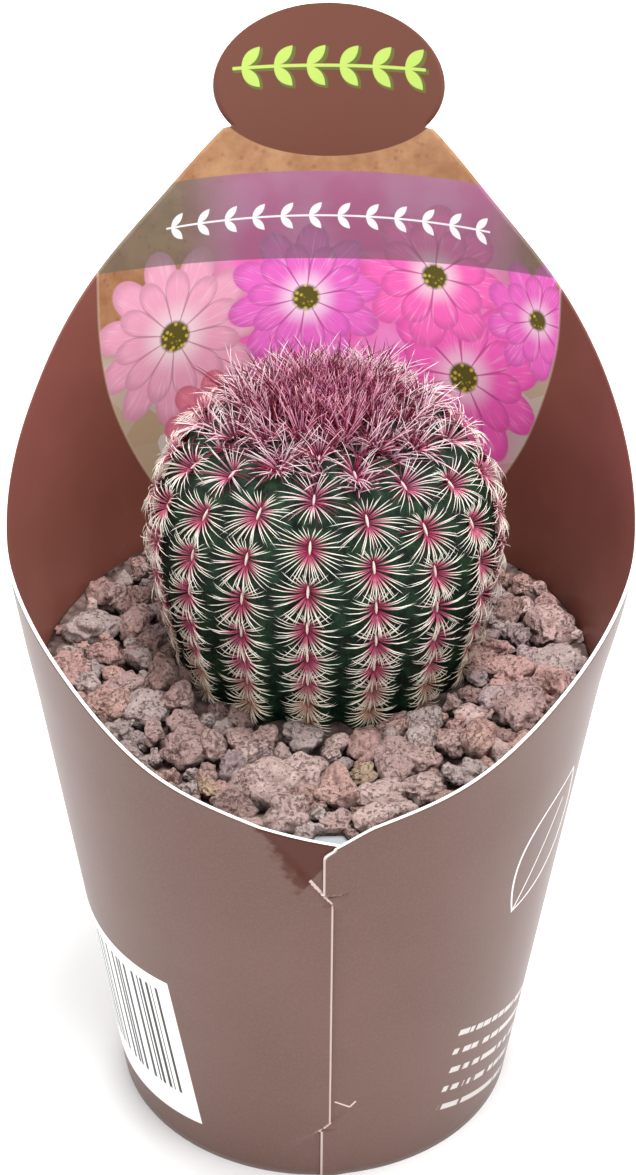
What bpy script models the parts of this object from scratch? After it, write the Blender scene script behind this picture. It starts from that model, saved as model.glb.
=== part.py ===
"""A rainbow hedgehog cactus in a nursery pot, with gravel on its soil and a card sleeve round the pot.

Metres, +Z up. The origin is the middle of the pot's foot, on the surface that it stands on. The front, where
the sleeve's seam is, faces -Y, and angles round the pot count in degrees from the front towards +X.
"""

import math
import random

import bmesh
import bpy
from mathutils import Matrix, Vector

# Gap kept between pieces that touch, and the sides of a full round
GAP = 0.0003
ROUND_STEPS = 40
CREASE = 360.0 / ROUND_STEPS

# Card sleeve: a cone that flares upwards, rolled from one flat sheet that laps at the front
SLEEVE_FOOT_RADIUS = 0.03245
SLEEVE_FLARE = 0.1428
CARD = 0.0006
UNDER_FLAP = 8.0
UNDER_FLAP_DROP = 0.002
OVER_FLAP = 3.4
OVER_FLAP_DROP = 0.0006
FLAP_STEP = 0.0085
FLAP_STEP_SLOPE = 0.001
FLAP_RAMP = (340.0, 351.0)
FLAP_LIFT = 1.02 * (CARD + GAP)
RIM_START = 3.0
RIM_POINTS = 26
CARD_RIM = (
    (0.0, 0.0783),
    (12.6, 0.0823),
    (33.0, 0.0878),
    (55.0, 0.0980),
    (72.0, 0.1036),
    (90.0, 0.1065),
    (111.0, 0.1150),
    (132.0, 0.1270),
    (149.0, 0.1370),
    (162.0, 0.1468),
)

# Oval tab on the sleeve's back: its middle, its half sizes and where its outline meets the neck
TAB_HEIGHT = 0.1533
TAB_HALF_ANGLE = 19.0
TAB_HALF_HEIGHT = 0.0124
TAB_NECK_TURN = 32.0
TAB_POINTS = 22

# Nursery pot: thin plastic, 85 mm across its rim band, which leans as the sleeve does
POT_HEIGHT = 0.0780
POT_FOOT_RADIUS = 0.0300
POT_RIM_RADIUS = 0.0425
POT_MOUTH_RADIUS = POT_RIM_RADIUS - 0.0016
POT_WALL = 0.0009
POT_FOOT_ROUND = 0.0012
RIM_BAND = 0.0050
RIM_STEP = 0.0008
DRAIN_RADIUS = 0.0040
DRAIN_CIRCLE = 0.0190
DRAINS = 5

# Soil, and the gravel's bed with its lip over the pot's rim
SOIL_TOP = 0.0700
SOIL_CLEAR = POT_WALL + 1.4 * GAP
SOIL_FOOT_ROUND = 0.0030
BED_TOP = 0.0776
LIP_TOP = 0.0793
LIP_CLEAR = 0.0005
BED_SLOPE = (0.0105, 0.0065)
STEM_CLEAR = 0.0009

# Stones, on a sunflower spiral
STONE_SEED = 11
STONE_TRIES = 160
STONE_SPACING = 0.00375
STONE_SHAKE = 0.0004
STONE_RADIUS = (0.0032, 0.0046)
STONE_FLATNESS = (0.62, 0.85)
STONE_WIDTH = (0.72, 0.95)
STONE_CORNERS = (0.84, 1.08)
SMALLEST_STONE = 0.0024
STONE_RISE = 0.45
RIM_STONE = 0.0034

# Cactus stem, a ribbed barrel that stands a little behind the pot's middle
STEM_AT = Vector((0.0012, 0.0070, 0.0))
STEM_RADIUS = 0.0262
STEM_WIDEST = 0.0973
STEM_TOP = 0.1212
STEM_AT_GRAVEL = 0.0226
STEM_FOOT = 0.0560
ROOT_RADIUS = 0.0130
DOME_POWER = 2.66
WAIST_POWER = 1.16
CROWN_DIMPLE = 0.0012
CROWN_RADIUS = 0.0060
RIBS = 16
RIB_DEPTH = 0.0030
RIB_FADE = 0.0110
CREST_POWER = 3
FIRST_RIB = -6.0
STEM_RINGS = 24
COLUMNS_A_RIB = 3
HALF_CREST = 180.0 / (RIBS * COLUMNS_A_RIB)

# Areoles climb each rib, further apart higher up, and step by half a pitch from rib to rib
AREOLE_PITCH = (0.0043, 0.0080)
CROWN_PITCH = 0.42
LOWEST_AREOLE = 0.0850
LAST_AREOLE_RADIUS = 0.0035
AREOLE_HALF_WIDTH = 0.0005
AREOLE_HALF_HEIGHT = 0.0010
BROAD_RADIUS = 0.020

# Spines: for each in an areole's comb, its side, how high it sits, and its angle from straight up
SPINE_FANS = ((1, 1, 64), (1, 0, 86), (1, -1, 107), (-1, 0.6, -74), (-1, -0.7, -104))
SPINE_LENGTH = 0.0046
SPINE_WIDTH = 0.00028
SPINE_ROOT = 0.0010
SPINE_LIFT_COSINE = (0.3, 0.91)
CROWN_SPINE = 1.05


def between(low, high, share):
    return low + (high - low) * share


def held(value, low, high):
    return min(max(value, low), high)


def smooth(share):
    """Eases a share from 0 to 1, with no slope at either end."""
    share = held(share, 0.0, 1.0)
    return share * share * (3 - 2 * share)


def polar(radius, degrees, height):
    """A point at this radius from the pot's axis, at this angle from the front."""
    turn = math.radians(degrees)
    return Vector((radius * math.sin(turn), -radius * math.cos(turn), height))


def finish(name, colour, roughness):
    material = bpy.data.materials.new(name)
    material.use_nodes = True
    shader = material.node_tree.nodes["Principled BSDF"]
    shader.inputs["Base Color"].default_value = (*colour, 1.0)
    shader.inputs["Roughness"].default_value = roughness
    shader.inputs["Metallic"].default_value = 0.0
    return material


def new_object(name, mesh, collection, material=None):
    thing = bpy.data.objects.new(name, mesh)
    collection.objects.link(thing)
    if material:
        mesh.materials.append(material)
    return thing


def new_collection(name, parent):
    collection = bpy.data.collections.new(name)
    parent.children.link(collection)
    return collection


def mesh_of(name, shape):
    """The mesh that holds this closed bmesh, facing out. The bmesh is freed."""
    bmesh.ops.recalc_face_normals(shape, faces=shape.faces)
    mesh = bpy.data.meshes.new(name)
    shape.to_mesh(mesh)
    shape.free()
    return mesh


def turned(name, profile, collection, material):
    """A profile of (radius, height) points, running down its outer side, turned about the Z axis."""
    mesh = bpy.data.meshes.new(name)
    edges = [(i, i + 1) for i in range(len(profile) - 1)]
    mesh.from_pydata([(radius, 0.0, height) for radius, height in profile], edges, [])
    thing = new_object(name, mesh, collection, material)
    screw = thing.modifiers.new("Turn", "SCREW")
    screw.steps = ROUND_STEPS
    screw.render_steps = ROUND_STEPS
    screw.use_merge_vertices = True
    screw.merge_threshold = 0.00001
    return thing


def apply_modifiers(thing):
    """Gives the object its evaluated mesh, and takes its modifiers away."""
    graph = bpy.context.evaluated_depsgraph_get()
    mesh = bpy.data.meshes.new_from_object(thing.evaluated_get(graph))
    mesh.name = thing.name
    thing.modifiers.clear()
    thing.data = mesh


def join_repeats(thing, repeats):
    """One Boolean union of the object with a collection of repeats, applied. The repeats are then removed."""
    union = thing.modifiers.new("Join", "BOOLEAN")
    union.operation = "UNION"
    union.operand_type = "COLLECTION"
    union.collection = repeats
    union.solver = "EXACT"
    apply_modifiers(thing)
    for repeat in list(repeats.objects):
        bpy.data.objects.remove(repeat, do_unlink=True)
    bpy.data.collections.remove(repeats)


def cut(thing, cutter):
    difference = thing.modifiers.new("Cut " + cutter.name, "BOOLEAN")
    difference.operation = "DIFFERENCE"
    difference.object = cutter
    difference.solver = "EXACT"


def round_cutter(name, radius, low, high, centre, cutters):
    """An upright cylinder from one height to another, which only cuts."""
    shape = bmesh.new()
    place = Matrix.Translation((centre.x, centre.y, (low + high) / 2))
    bmesh.ops.create_cone(
        shape, cap_ends=True, segments=32, radius1=radius, radius2=radius, depth=high - low, matrix=place
    )
    cutter = new_object(name, mesh_of(name, shape), cutters)
    cutter.hide_render = True
    cutter.display_type = "WIRE"
    return cutter


def sleeve_radius(height):
    """Outer radius of the card cone."""
    return SLEEVE_FOOT_RADIUS + SLEEVE_FLARE * height


def card_rim(degrees):
    """Height of the sleeve's cut edge: a smooth curve through its knots, the same on both sides."""
    side = max(min(degrees, 360.0 - degrees), 0.0)
    knots = [Vector(knot) for knot in CARD_RIM]
    i = max(k for k in range(len(knots) - 1) if side >= knots[k].x)
    start, end = knots[i], knots[i + 1]
    before, after = knots[max(i - 1, 0)], knots[min(i + 2, len(knots) - 1)]
    span = end.x - start.x
    rise = end.y - start.y
    leaving = (end.y - before.y) / (end.x - before.x) * span - rise
    arriving = (after.y - start.y) / (after.x - start.x) * span - rise
    share = (side - start.x) / span
    return start.y + rise * share + share * (1 - share) * ((1 - share) * leaving - share * arriving)


def card_outline():
    """The flat sheet's outline as (degrees, height), from the foot up the over flap, back along the rim."""
    neck = CARD_RIM[-1][0]
    front = card_rim(0.0)
    sides = [between(RIM_START, neck, i / RIM_POINTS) for i in range(RIM_POINTS + 1)]
    below = math.radians(TAB_NECK_TURN)
    turns = [between(-below, math.pi + below, i / TAB_POINTS) for i in range(TAB_POINTS + 1)]
    tab = [
        (180.0 + TAB_HALF_ANGLE * math.cos(turn), TAB_HEIGHT + TAB_HALF_HEIGHT * math.sin(turn))
        for turn in turns
    ]
    over_seam = [(360.0, 0.0), (360.0, FLAP_STEP - FLAP_STEP_SLOPE), (360.0 + OVER_FLAP, FLAP_STEP)]
    over_top = [(360.0 + OVER_FLAP, front - OVER_FLAP_DROP), (360.0, front)]
    left_rim = [(360.0 - side, card_rim(side)) for side in sides]
    right_rim = [(side, card_rim(side)) for side in reversed(sides)]
    under_seam = [(0.0, front), (-UNDER_FLAP, front - UNDER_FLAP_DROP), (-UNDER_FLAP, 0.0)]
    return over_seam + over_top + left_rim + tab + right_rim + under_seam


def rolled(degrees, height):
    """Where a point of the flat sheet lies once it is rolled: the last flap runs outside the first."""
    ramp = (degrees - FLAP_RAMP[0]) / (FLAP_RAMP[1] - FLAP_RAMP[0])
    return polar(sleeve_radius(height) + FLAP_LIFT * smooth(ramp), degrees, height)


def build_sleeve(parts):
    """A flat sheet, creased in straight lines from foot to rim, rolled to a cone and given its thickness."""
    shape = bmesh.new()
    shape.faces.new([shape.verts.new((degrees, height, 0.0)) for degrees, height in card_outline()])
    for i in range(ROUND_STEPS):
        sheet = shape.verts[:] + shape.edges[:] + shape.faces[:]
        bmesh.ops.bisect_plane(shape, geom=sheet, dist=1e-7, plane_co=(CREASE * i, 0, 0), plane_no=(1, 0, 0))
    for corner in shape.verts:
        corner.co = rolled(corner.co.x, corner.co.y)
    bmesh.ops.triangulate(shape, faces=shape.faces[:])
    mesh = bpy.data.meshes.new("sleeve")
    shape.to_mesh(mesh)
    shape.free()
    sleeve = new_object("sleeve", mesh, parts, finish("Glossy brown card", (0.045, 0.018, 0.012), 0.35))
    wall = sleeve.modifiers.new("Card", "SOLIDIFY")
    wall.thickness = CARD
    wall.offset = -1.0
    wall.use_even_offset = True


def pot_radius(height):
    """Outer radius of the pot's wall below its rim band."""
    return between(POT_FOOT_RADIUS, POT_MOUTH_RADIUS, height / POT_HEIGHT)


def build_pot(parts, cutters):
    """A tapered cup with a wider band at its rim and a ring of drain holes."""
    band = POT_HEIGHT - RIM_BAND
    floor_round = POT_WALL + POT_FOOT_ROUND
    profile = [
        (0.0, POT_WALL),
        (POT_FOOT_RADIUS - floor_round, POT_WALL),
        (pot_radius(floor_round) - POT_WALL, floor_round),
        (pot_radius(band) - POT_WALL, band),
        (pot_radius(POT_HEIGHT) - POT_WALL + GAP, POT_HEIGHT),
        (POT_RIM_RADIUS, POT_HEIGHT),
        (POT_RIM_RADIUS - SLEEVE_FLARE * RIM_BAND, band),
        (pot_radius(band), band - RIM_STEP),
        (pot_radius(POT_FOOT_ROUND), POT_FOOT_ROUND),
        (POT_FOOT_RADIUS - POT_FOOT_ROUND, 0.0),
        (0.0, 0.0),
    ]
    pot = turned("pot", profile, parts, finish("Pale grey plastic", (0.62, 0.65, 0.70), 0.45))
    for i in range(DRAINS):
        centre = polar(DRAIN_CIRCLE, 360.0 * i / DRAINS, 0.0)
        cut(pot, round_cutter(f"drain_{i + 1}", DRAIN_RADIUS, -DRAIN_RADIUS, DRAIN_RADIUS, centre, cutters))


def build_soil(parts, cutters):
    """The fill of the pot, with a plain hole in which the root end stands."""
    foot = POT_WALL + GAP
    rounded = foot + SOIL_FOOT_ROUND
    profile = [
        (0.0, SOIL_TOP),
        (pot_radius(SOIL_TOP) - SOIL_CLEAR, SOIL_TOP),
        (pot_radius(rounded) - SOIL_CLEAR, rounded),
        (pot_radius(foot) - SOIL_CLEAR - SOIL_FOOT_ROUND / 2, foot),
        (0.0, foot),
    ]
    soil = turned("soil", profile, parts, finish("Dark potting soil", (0.055, 0.038, 0.028), 0.95))
    radius = root_radius(SOIL_TOP) + GAP
    cut(soil, round_cutter("root_hole", radius, STEM_FOOT - GAP, BED_TOP, STEM_AT, cutters))


def stone(seeded, seat, radius, flatness):
    """A rough pebble with its lowest corner at the seat: an icosahedron, turned, pushed and flattened."""
    shape = bmesh.new()
    bmesh.ops.create_icosphere(shape, subdivisions=1, radius=1.0)
    axis = Vector([seeded.uniform(-1, 1) for _ in range(3)])
    turn = Matrix.Rotation(seeded.uniform(0, math.tau), 3, axis)
    squash = Matrix.Diagonal((1.0, seeded.uniform(*STONE_WIDTH), flatness))
    heading = Matrix.Rotation(seeded.uniform(0, math.tau), 3, "Z")
    for corner in shape.verts:
        corner.co = heading @ squash @ turn @ corner.co * seeded.uniform(*STONE_CORNERS) * radius
    lowest = min(corner.co.z for corner in shape.verts)
    bmesh.ops.translate(shape, verts=shape.verts, vec=seat - Vector((0.0, 0.0, lowest)))
    return mesh_of("stone", shape)


def stone_places(seeded):
    """(seat, radius, flatness) of each stone: over the pot's mouth and its rim, kept clear of the stem."""
    reach = sleeve_radius(LIP_TOP) - CARD - LIP_CLEAR
    furthest = STONE_CORNERS[1]
    golden = 180.0 * (3 - math.sqrt(5))
    clear = STEM_AT_GRAVEL + STEM_CLEAR
    places = []
    for i in range(1, STONE_TRIES):
        out = STONE_SPACING * math.sqrt(i) + seeded.uniform(-STONE_SHAKE, STONE_SHAKE)
        radius = seeded.uniform(*STONE_RADIUS)
        flatness = seeded.uniform(*STONE_FLATNESS)
        rise = seeded.random()
        centre = polar(min(out, reach - radius * furthest), golden * i, 0.0)
        room = (centre - STEM_AT).length - clear
        if out > reach or room < SMALLEST_STONE * furthest:
            continue
        radius = min(radius, room / furthest)
        over_rim = centre.length + radius * furthest > pot_radius(POT_HEIGHT) - POT_WALL
        centre.z = BED_TOP - radius * flatness * (1 - STONE_RISE * rise)
        if over_rim:
            radius = min(radius, RIM_STONE)
            centre.z = POT_HEIGHT + 2 * GAP
        places.append((centre, radius, flatness))
    return places


def build_gravel(parts, cutters):
    """A thin bed that carries the stones, with a lip over the pot's rim and a hole round the stem."""
    inner = pot_radius(POT_HEIGHT) - POT_WALL - 2 * GAP
    lip = sleeve_radius(LIP_TOP) - CARD - LIP_CLEAR
    under = POT_HEIGHT + GAP
    profile = [
        (0.0, BED_TOP),
        (inner - BED_SLOPE[0], BED_TOP),
        (inner - BED_SLOPE[1], LIP_TOP),
        (lip, LIP_TOP),
        (lip - SLEEVE_FLARE * (LIP_TOP - under), under),
        (inner, under),
        (pot_radius(SOIL_TOP) - SOIL_CLEAR, SOIL_TOP + GAP),
        (0.0, SOIL_TOP + GAP),
    ]
    gravel = turned("gravel", profile, parts, finish("Pinkish grey lava", (0.30, 0.235, 0.215), 0.9))
    cut(gravel, round_cutter("stem_hole", STEM_AT_GRAVEL + STEM_CLEAR, STEM_FOOT, STEM_TOP, STEM_AT, cutters))
    apply_modifiers(gravel)
    stones = new_collection("Stones", parts)
    seeded = random.Random(STONE_SEED)
    for place in stone_places(seeded):
        new_object("stone", stone(seeded, *place), stones)
    bpy.context.view_layer.update()
    join_repeats(gravel, stones)


def root_radius(height):
    """Radius of the stem's buried end, which narrows downwards from the gravel to its foot."""
    buried = (BED_TOP - height) / (BED_TOP - STEM_FOOT)
    return between(STEM_AT_GRAVEL, ROOT_RADIUS, smooth(buried))


def stem_profile(tilt):
    """(radius of the crests, height, share of the rib depth) at a tilt from -90 at the foot to 90 on top."""
    if tilt >= 0:
        turn = math.radians(tilt)
        radius = STEM_RADIUS * max(math.cos(turn), 0.0) ** (2 / DOME_POWER)
        height = between(STEM_WIDEST, STEM_TOP, math.sin(turn) ** (2 / DOME_POWER))
        return radius, height - CROWN_DIMPLE * smooth(1 - radius / CROWN_RADIUS), smooth(radius / RIB_FADE)
    height = between(STEM_WIDEST, STEM_FOOT, -tilt / 90)
    if height > BED_TOP:
        down = (STEM_WIDEST - height) / (STEM_WIDEST - BED_TOP)
        return between(STEM_RADIUS, STEM_AT_GRAVEL, down**WAIST_POWER), height, 1.0
    return root_radius(height), height, (height - STEM_FOOT) / (BED_TOP - STEM_FOOT)


def stem_point(degrees, tilt):
    """A point of the ribbed surface: broad crests stay near the profile, with grooves between them."""
    radius, height, depth = stem_profile(tilt)
    wave = abs(math.sin(math.radians(RIBS * (degrees - FIRST_RIB) / 2)))
    return polar(radius - RIB_DEPTH * depth * wave**CREST_POWER, degrees, height) + STEM_AT


def crest_point(degrees, tilt):
    """The middle of a rib's crest, which is a flat strip between two columns of points."""
    return (stem_point(degrees - HALF_CREST, tilt) + stem_point(degrees + HALF_CREST, tilt)) / 2


def build_stem(parts, material):
    """A ball of even rings, whose every point is moved on to the ribbed surface, flat at the foot."""
    shape = bmesh.new()
    bmesh.ops.create_uvsphere(shape, u_segments=RIBS * COLUMNS_A_RIB, v_segments=STEM_RINGS, radius=1.0)
    for corner in shape.verts:
        out = math.hypot(corner.co.x, corner.co.y)
        degrees = math.degrees(math.atan2(corner.co.x, -corner.co.y)) + FIRST_RIB + HALF_CREST
        tilt = math.degrees(math.atan2(corner.co.z, out))
        corner.co = stem_point(degrees, tilt)
        if out < 1e-6:
            pole = STEM_TOP - CROWN_DIMPLE if tilt > 0 else STEM_FOOT
            corner.co = STEM_AT + Vector((0.0, 0.0, pole))
    return new_object("cactus_stem", mesh_of("cactus_stem", shape), parts, material)


def tilt_at(length):
    """The tilt at which the profile, followed up from the lowest areole, has run this length."""
    step = 0.5
    tilt = -90.0 * (STEM_WIDEST - LOWEST_AREOLE) / (STEM_WIDEST - STEM_FOOT)
    radius, height, _ = stem_profile(tilt)
    run = 0.0
    while run < length and tilt < 90.0 - step:
        tilt += step
        next_radius, next_height, _ = stem_profile(tilt)
        run += math.hypot(next_radius - radius, next_height - height)
        radius, height = next_radius, next_height
    return tilt


def areoles():
    """(place, outward, upward, size and lift of its spines) of every areole."""
    found = []
    for rib in range(RIBS):
        degrees = FIRST_RIB + 360.0 * rib / RIBS
        run = AREOLE_PITCH[0] / 2 * (rib % 2)
        tilt = tilt_at(run)
        while stem_profile(tilt)[0] > LAST_AREOLE_RADIUS:
            radius = stem_profile(tilt)[0]
            place = crest_point(degrees, tilt)
            upward = (crest_point(degrees, tilt + 1) - crest_point(degrees, tilt - 1)).normalized()
            outward = polar(1.0, degrees + 90.0, 0.0).cross(upward).normalized()
            broad = min(1.0, radius / BROAD_RADIUS)
            half_way = 0.92 * math.pi * radius / RIBS - AREOLE_HALF_WIDTH
            lift = math.acos(held(half_way / (0.94 * SPINE_LENGTH), *SPINE_LIFT_COSINE))
            found.append((place, outward, upward, between(CROWN_SPINE, 1.0, broad), lift))
            climb = (place.z - LOWEST_AREOLE) / (STEM_TOP - LOWEST_AREOLE)
            run += between(*AREOLE_PITCH, climb) * between(CROWN_PITCH, 1.0, broad)
            tilt = tilt_at(run)
    return found


def spine(shape, root, heading, length):
    """A three-sided needle that starts inside the stem and ends in a point."""
    depth = length + SPINE_ROOT
    turn = heading.to_track_quat("Z", "Y").to_matrix().to_4x4()
    place = Matrix.Translation(root - heading * SPINE_ROOT) @ turn @ Matrix.Translation((0, 0, depth / 2))
    bmesh.ops.create_cone(
        shape, cap_ends=True, segments=3, radius1=SPINE_WIDTH, radius2=0.0, depth=depth, matrix=place
    )


def build_cactus(parts):
    """The stem with a comb of needles on each areole, joined to it."""
    stem = build_stem(parts, finish("Spiny green skin", (0.42, 0.22, 0.22), 0.6))
    spines = new_collection("Spines", parts)
    combs = areoles()
    for number, (right, high, degrees) in enumerate(SPINE_FANS):
        shape = bmesh.new()
        turn = math.radians(degrees)
        for place, outward, upward, size, lift in combs:
            side = upward.cross(outward)
            flat = side * math.sin(turn) + upward * math.cos(turn)
            heading = (flat * math.cos(lift) + outward * math.sin(lift)).normalized()
            root = place + side * (right * AREOLE_HALF_WIDTH) + upward * (high * AREOLE_HALF_HEIGHT)
            spine(shape, root, heading, SPINE_LENGTH * size)
        new_object(f"spines_{number + 1}", mesh_of("spines", shape), spines)
    bpy.context.view_layer.update()
    join_repeats(stem, spines)


def main():
    for old in list(bpy.data.objects):
        bpy.data.objects.remove(old, do_unlink=True)
    parts = new_collection("Potted hedgehog cactus", bpy.context.scene.collection)
    cutters = new_collection("Cutters", bpy.context.scene.collection)
    build_sleeve(parts)
    build_pot(parts, cutters)
    build_soil(parts, cutters)
    build_gravel(parts, cutters)
    build_cactus(parts)
    for part in parts.objects:
        part.data.shade_smooth()
        part.data.set_sharp_from_angle(angle=math.radians(35))


main()
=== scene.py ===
"""Looks of the rainbow hedgehog cactus in its nursery pot, with lava gravel and a printed card sleeve.

Metres, +Z up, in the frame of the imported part. The front, where the sleeve's seam is, faces -Y. Angles round
the pot count in degrees from the front towards +X. Tables that say so are in millimetres.
"""

import math

import bmesh
import bpy
import numpy as np
from mathutils import Matrix, Vector


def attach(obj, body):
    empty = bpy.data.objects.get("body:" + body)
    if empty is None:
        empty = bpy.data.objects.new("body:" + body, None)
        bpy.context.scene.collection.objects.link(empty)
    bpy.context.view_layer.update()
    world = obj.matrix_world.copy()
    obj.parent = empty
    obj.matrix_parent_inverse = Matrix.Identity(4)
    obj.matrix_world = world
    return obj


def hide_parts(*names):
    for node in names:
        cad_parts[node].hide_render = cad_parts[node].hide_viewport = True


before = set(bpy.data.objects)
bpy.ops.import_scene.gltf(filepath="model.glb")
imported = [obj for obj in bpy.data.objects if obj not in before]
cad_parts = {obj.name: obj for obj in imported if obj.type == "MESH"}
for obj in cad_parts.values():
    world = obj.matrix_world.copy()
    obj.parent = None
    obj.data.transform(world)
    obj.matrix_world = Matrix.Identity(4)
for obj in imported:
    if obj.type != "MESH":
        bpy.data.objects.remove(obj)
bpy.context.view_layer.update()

MM = 0.001

# Camera, in front of the pot and above it, and the studio lights: place, size and power of each
VIEW_AIM = Vector((0.0, 0.0, 0.0940))
VIEW_DISTANCE = 0.500
VIEW_ELEVATION = 35.41
VIEW_ROLL = 0.41
LENS = 99.57
SENSOR = 36.0
SKY_STRENGTH = 0.88
FLOOR_REACH = 6.0
LIGHTS = (
    ("Key softbox", (0.12, -0.05, 1.05), 0.40, 11.0),
    ("Fill softbox", (0.65, -0.75, 0.55), 0.60, 3.2),
    ("Side softbox", (-0.75, -0.60, 0.60), 0.60, 2.4),
    ("Back softbox", (-0.15, 0.75, 0.95), 0.50, 4.0),
)

# Card sleeve: a flared cone, cut with a high back and an oval tab. The flaps and the ramp are in degrees, the
# rest in metres. Each slit has a height at the front and a climb for each degree.
SLEEVE_FOOT_RADIUS = 0.03245
SLEEVE_FLARE = 0.1428
CARD = 0.0005
UNDER_FLAP = 8.0
OVER_FLAP = 6.0
FLAP_RAMP = 11.0
FLAP_LIFT = 0.00057
LEFT_EDGE = 0.0026
RIGHT_EDGE = 0.0011
SLIT_HEIGHT = (0.0111, 0.0701)
SLIT_SLOPE = (0.0006, -0.00113)
SLIT_ROUND = 0.0005
FRONT_CORNER = (0.0758, 0.0024)
FRONT_CORNER_TURN = 2.2
CUT_REACH = 0.005
# Angle and height along the cut rim, from the seam to the neck of the tab
CARD_RIM = np.array([
    (0.0, 0.0783),
    (12.6, 0.0823),
    (33.0, 0.0878),
    (55.0, 0.0980),
    (72.0, 0.1036),
    (90.0, 0.1065),
    (111.0, 0.1150),
    (132.0, 0.1270),
    (149.0, 0.1370),
    (162.0, 0.1468),
])
TAB_HEIGHT = 0.1533
TAB_HALF_ANGLE = 19.6
TAB_HALF_HEIGHT = 0.0124
TAB_NECK_TURN = 32.0
SHEET_UNIT = 0.1

# Colours of the card
OUTER_BROWN = ((0.120, 0.064, 0.051), (0.134, 0.073, 0.060), (0.165, 0.10, 0.086))
# Painted shade: the darker brown by the seam, where the card curls in and loses its sheen
CURL_SHADE_BROWN = (0.064, 0.013, 0.006)
INNER_BROWN = ((0.172, 0.053, 0.034), (0.205, 0.066, 0.044))
TAB_BROWN = (0.120, 0.029, 0.011)
PRINT_WHITE = (0.80, 0.78, 0.76)
LEAF_WHITE = (0.86, 0.84, 0.85)

# Pale strokes where the card is slit, each from one angle and height to another, with its half width in mm
SLITS = (
    (358.8, 0.0715, 363.3, 0.0664, 0.19),
    (-1.2, 0.0715, 3.3, 0.0664, 0.19),
    (0.2, 0.0676, 1.6, 0.0676, 0.18),
    (5.3, 0.0189, 9.3, 0.0173, 0.15),
    (9.3, 0.0173, 10.8, 0.0186, 0.15),
    (4.4, 0.0139, 0.2, 0.0112, 0.15),
    (364.4, 0.0139, 360.2, 0.0112, 0.15),
)

# Print outside, in mm and degrees on the flat sheet. Label: middle, turn, half width and half height. Its bars:
# half width, half height and rise of their block. Leaf: base, turn, length, half width, half width of its line.
# Dashes: rows, middle of the first row, step to the next, half width and half height of a row.
LABEL = ((-72.05, 241.6), 15.65, 17.0, 16.5)
LABEL_BARS = (14.2, 12.2, 1.6)
LEAF = ((88.6, 266.6), 103.0, 25.0, 7.0, 0.26)
DASH_ROWS = 5
DASH_FIRST = np.array((76.4, 242.0))
DASH_STEP = np.array((-1.1, -4.25))
DASH_HALF = (11.5, 0.62)
# Painted shade by the seam: corner and turn of its upper edge on the sheet, and the x's over which its ragged side
# fades in
CURL_SHADE_CORNER = (-126.3, 271.0)
CURL_SHADE_TURN = 148.3
CURL_SHADE_SIDE = (-125.4, -127.6)

# Print inside, in mm on the flat sheet. Panel: middle, half width, height where it is widest, narrowing below
# it, foot. Band: lower edge, sag and upper edge. Oval: height, half width and half height. Sprigs: middle, half
# length, pitch of the leaves, their length and half width, half width of the twig.
PANEL_MIDDLE = 0.9
PANEL_HALF = 40.6
PANEL_WIDEST = 350.0
PANEL_NARROWING = 0.0105
PANEL_FOOT = 310.0
BAND_LOW = 354.25
BAND_SAG = 0.0017
BAND_TOP = 369.3
OVAL = (384.4, 19.2, 12.55)
BAND_SPRIG = ((0.5, 361.8), 27.0, 4.6, (3.0, 0.62), 0.16)
TAB_SHADE = ((0.35, 386.5), 15.6, 5.2, (4.6, 1.2), 0.42)
TAB_SPRIG = ((0.0, 386.8), 15.4, 5.2, (4.4, 0.95), 0.26)
LEAF_SLANT = 48.0

# Printed flowers: middle and reach in mm, petals, turn, colour of the tips and of the throat
BLOSSOMS = (
    ((24.0, 336.0), 15.0, 9, 20.0, (0.90, 0.12, 0.50), (0.92, 0.58, 0.74)),
    ((-25.0, 343.0), 15.5, 11, 5.0, (0.80, 0.36, 0.50), (0.86, 0.68, 0.72)),
    ((-3.0, 347.5), 13.0, 10, 12.0, (0.80, 0.14, 0.56), (0.90, 0.68, 0.84)),
    ((18.0, 352.5), 12.5, 8, 40.0, (0.92, 0.14, 0.50), (0.92, 0.64, 0.78)),
    ((37.0, 349.0), 10.0, 9, 0.0, (0.84, 0.14, 0.56), (0.90, 0.60, 0.78)),
    ((-18.0, 327.0), 9.0, 8, 0.0, (0.78, 0.20, 0.30), (0.84, 0.55, 0.50)),
)

# Gravel: height that it lies at, the bed under it, and how its stones are drawn. Waves: slowest, fastest, how
# many and how strong. Loose stones: tries, half width from first to last and spacing. Lengths in mm are those of
# the loose stones, the drop, the clearance, and the level and reach of the heap.
GRAVEL_TOP = 0.0790
BED_LEVEL = 0.0774
STONE_SEED = 23
LOOSE_STONES = 1100
LOOSE_HALF = (2.9, 1.1)
LOOSE_SPACING = 0.66
STONE_CHIPS = 11
CHIP_SHARP = 13.0
STONE_WAVES = ((1.6, 5.0, 9, 0.17), (6.0, 15.0, 20, 0.21))
STONE_PORES = 36
STONE_SCALE = np.array((1.05, 1.05, 1.55))
STONE_ROUNDS = 5
LOOSE_ROUNDS = 4
LOOSE_DROP = 0.9
WALL_CLEAR = 0.15
HEAP_LEVEL = 79.6
FRONT_STONES = -17.0
BARE_TURN = 2.8

# Stem and areoles, with angles in degrees. The pitch is given at the gravel and at the top.
STEM_AT = np.array((0.0012, 0.0070, 0.0))
STEM_RADIUS = 0.0262
STEM_WIDEST = 0.0973
STEM_TOP = 0.1212
STEM_AT_GRAVEL = 0.0226
STEM_FOOT = 0.0560
ROOT_RADIUS = 0.0130
BED_TOP = 0.0776
DOME_POWER = 2.66
WAIST_POWER = 1.16
CROWN_DIMPLE = 0.0012
CROWN_RADIUS = 0.0060
RIBS = 16
RIB_DEPTH = 0.0030
RIB_FADE = 0.0110
FIRST_RIB = -6.0
AREOLE_PITCH = (0.0043, 0.0080)
CROWN_PITCH = 0.42
LOWEST_AREOLE = 0.0808
LAST_AREOLE_RADIUS = 0.0030
BROAD_RADIUS = 0.020

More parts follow.
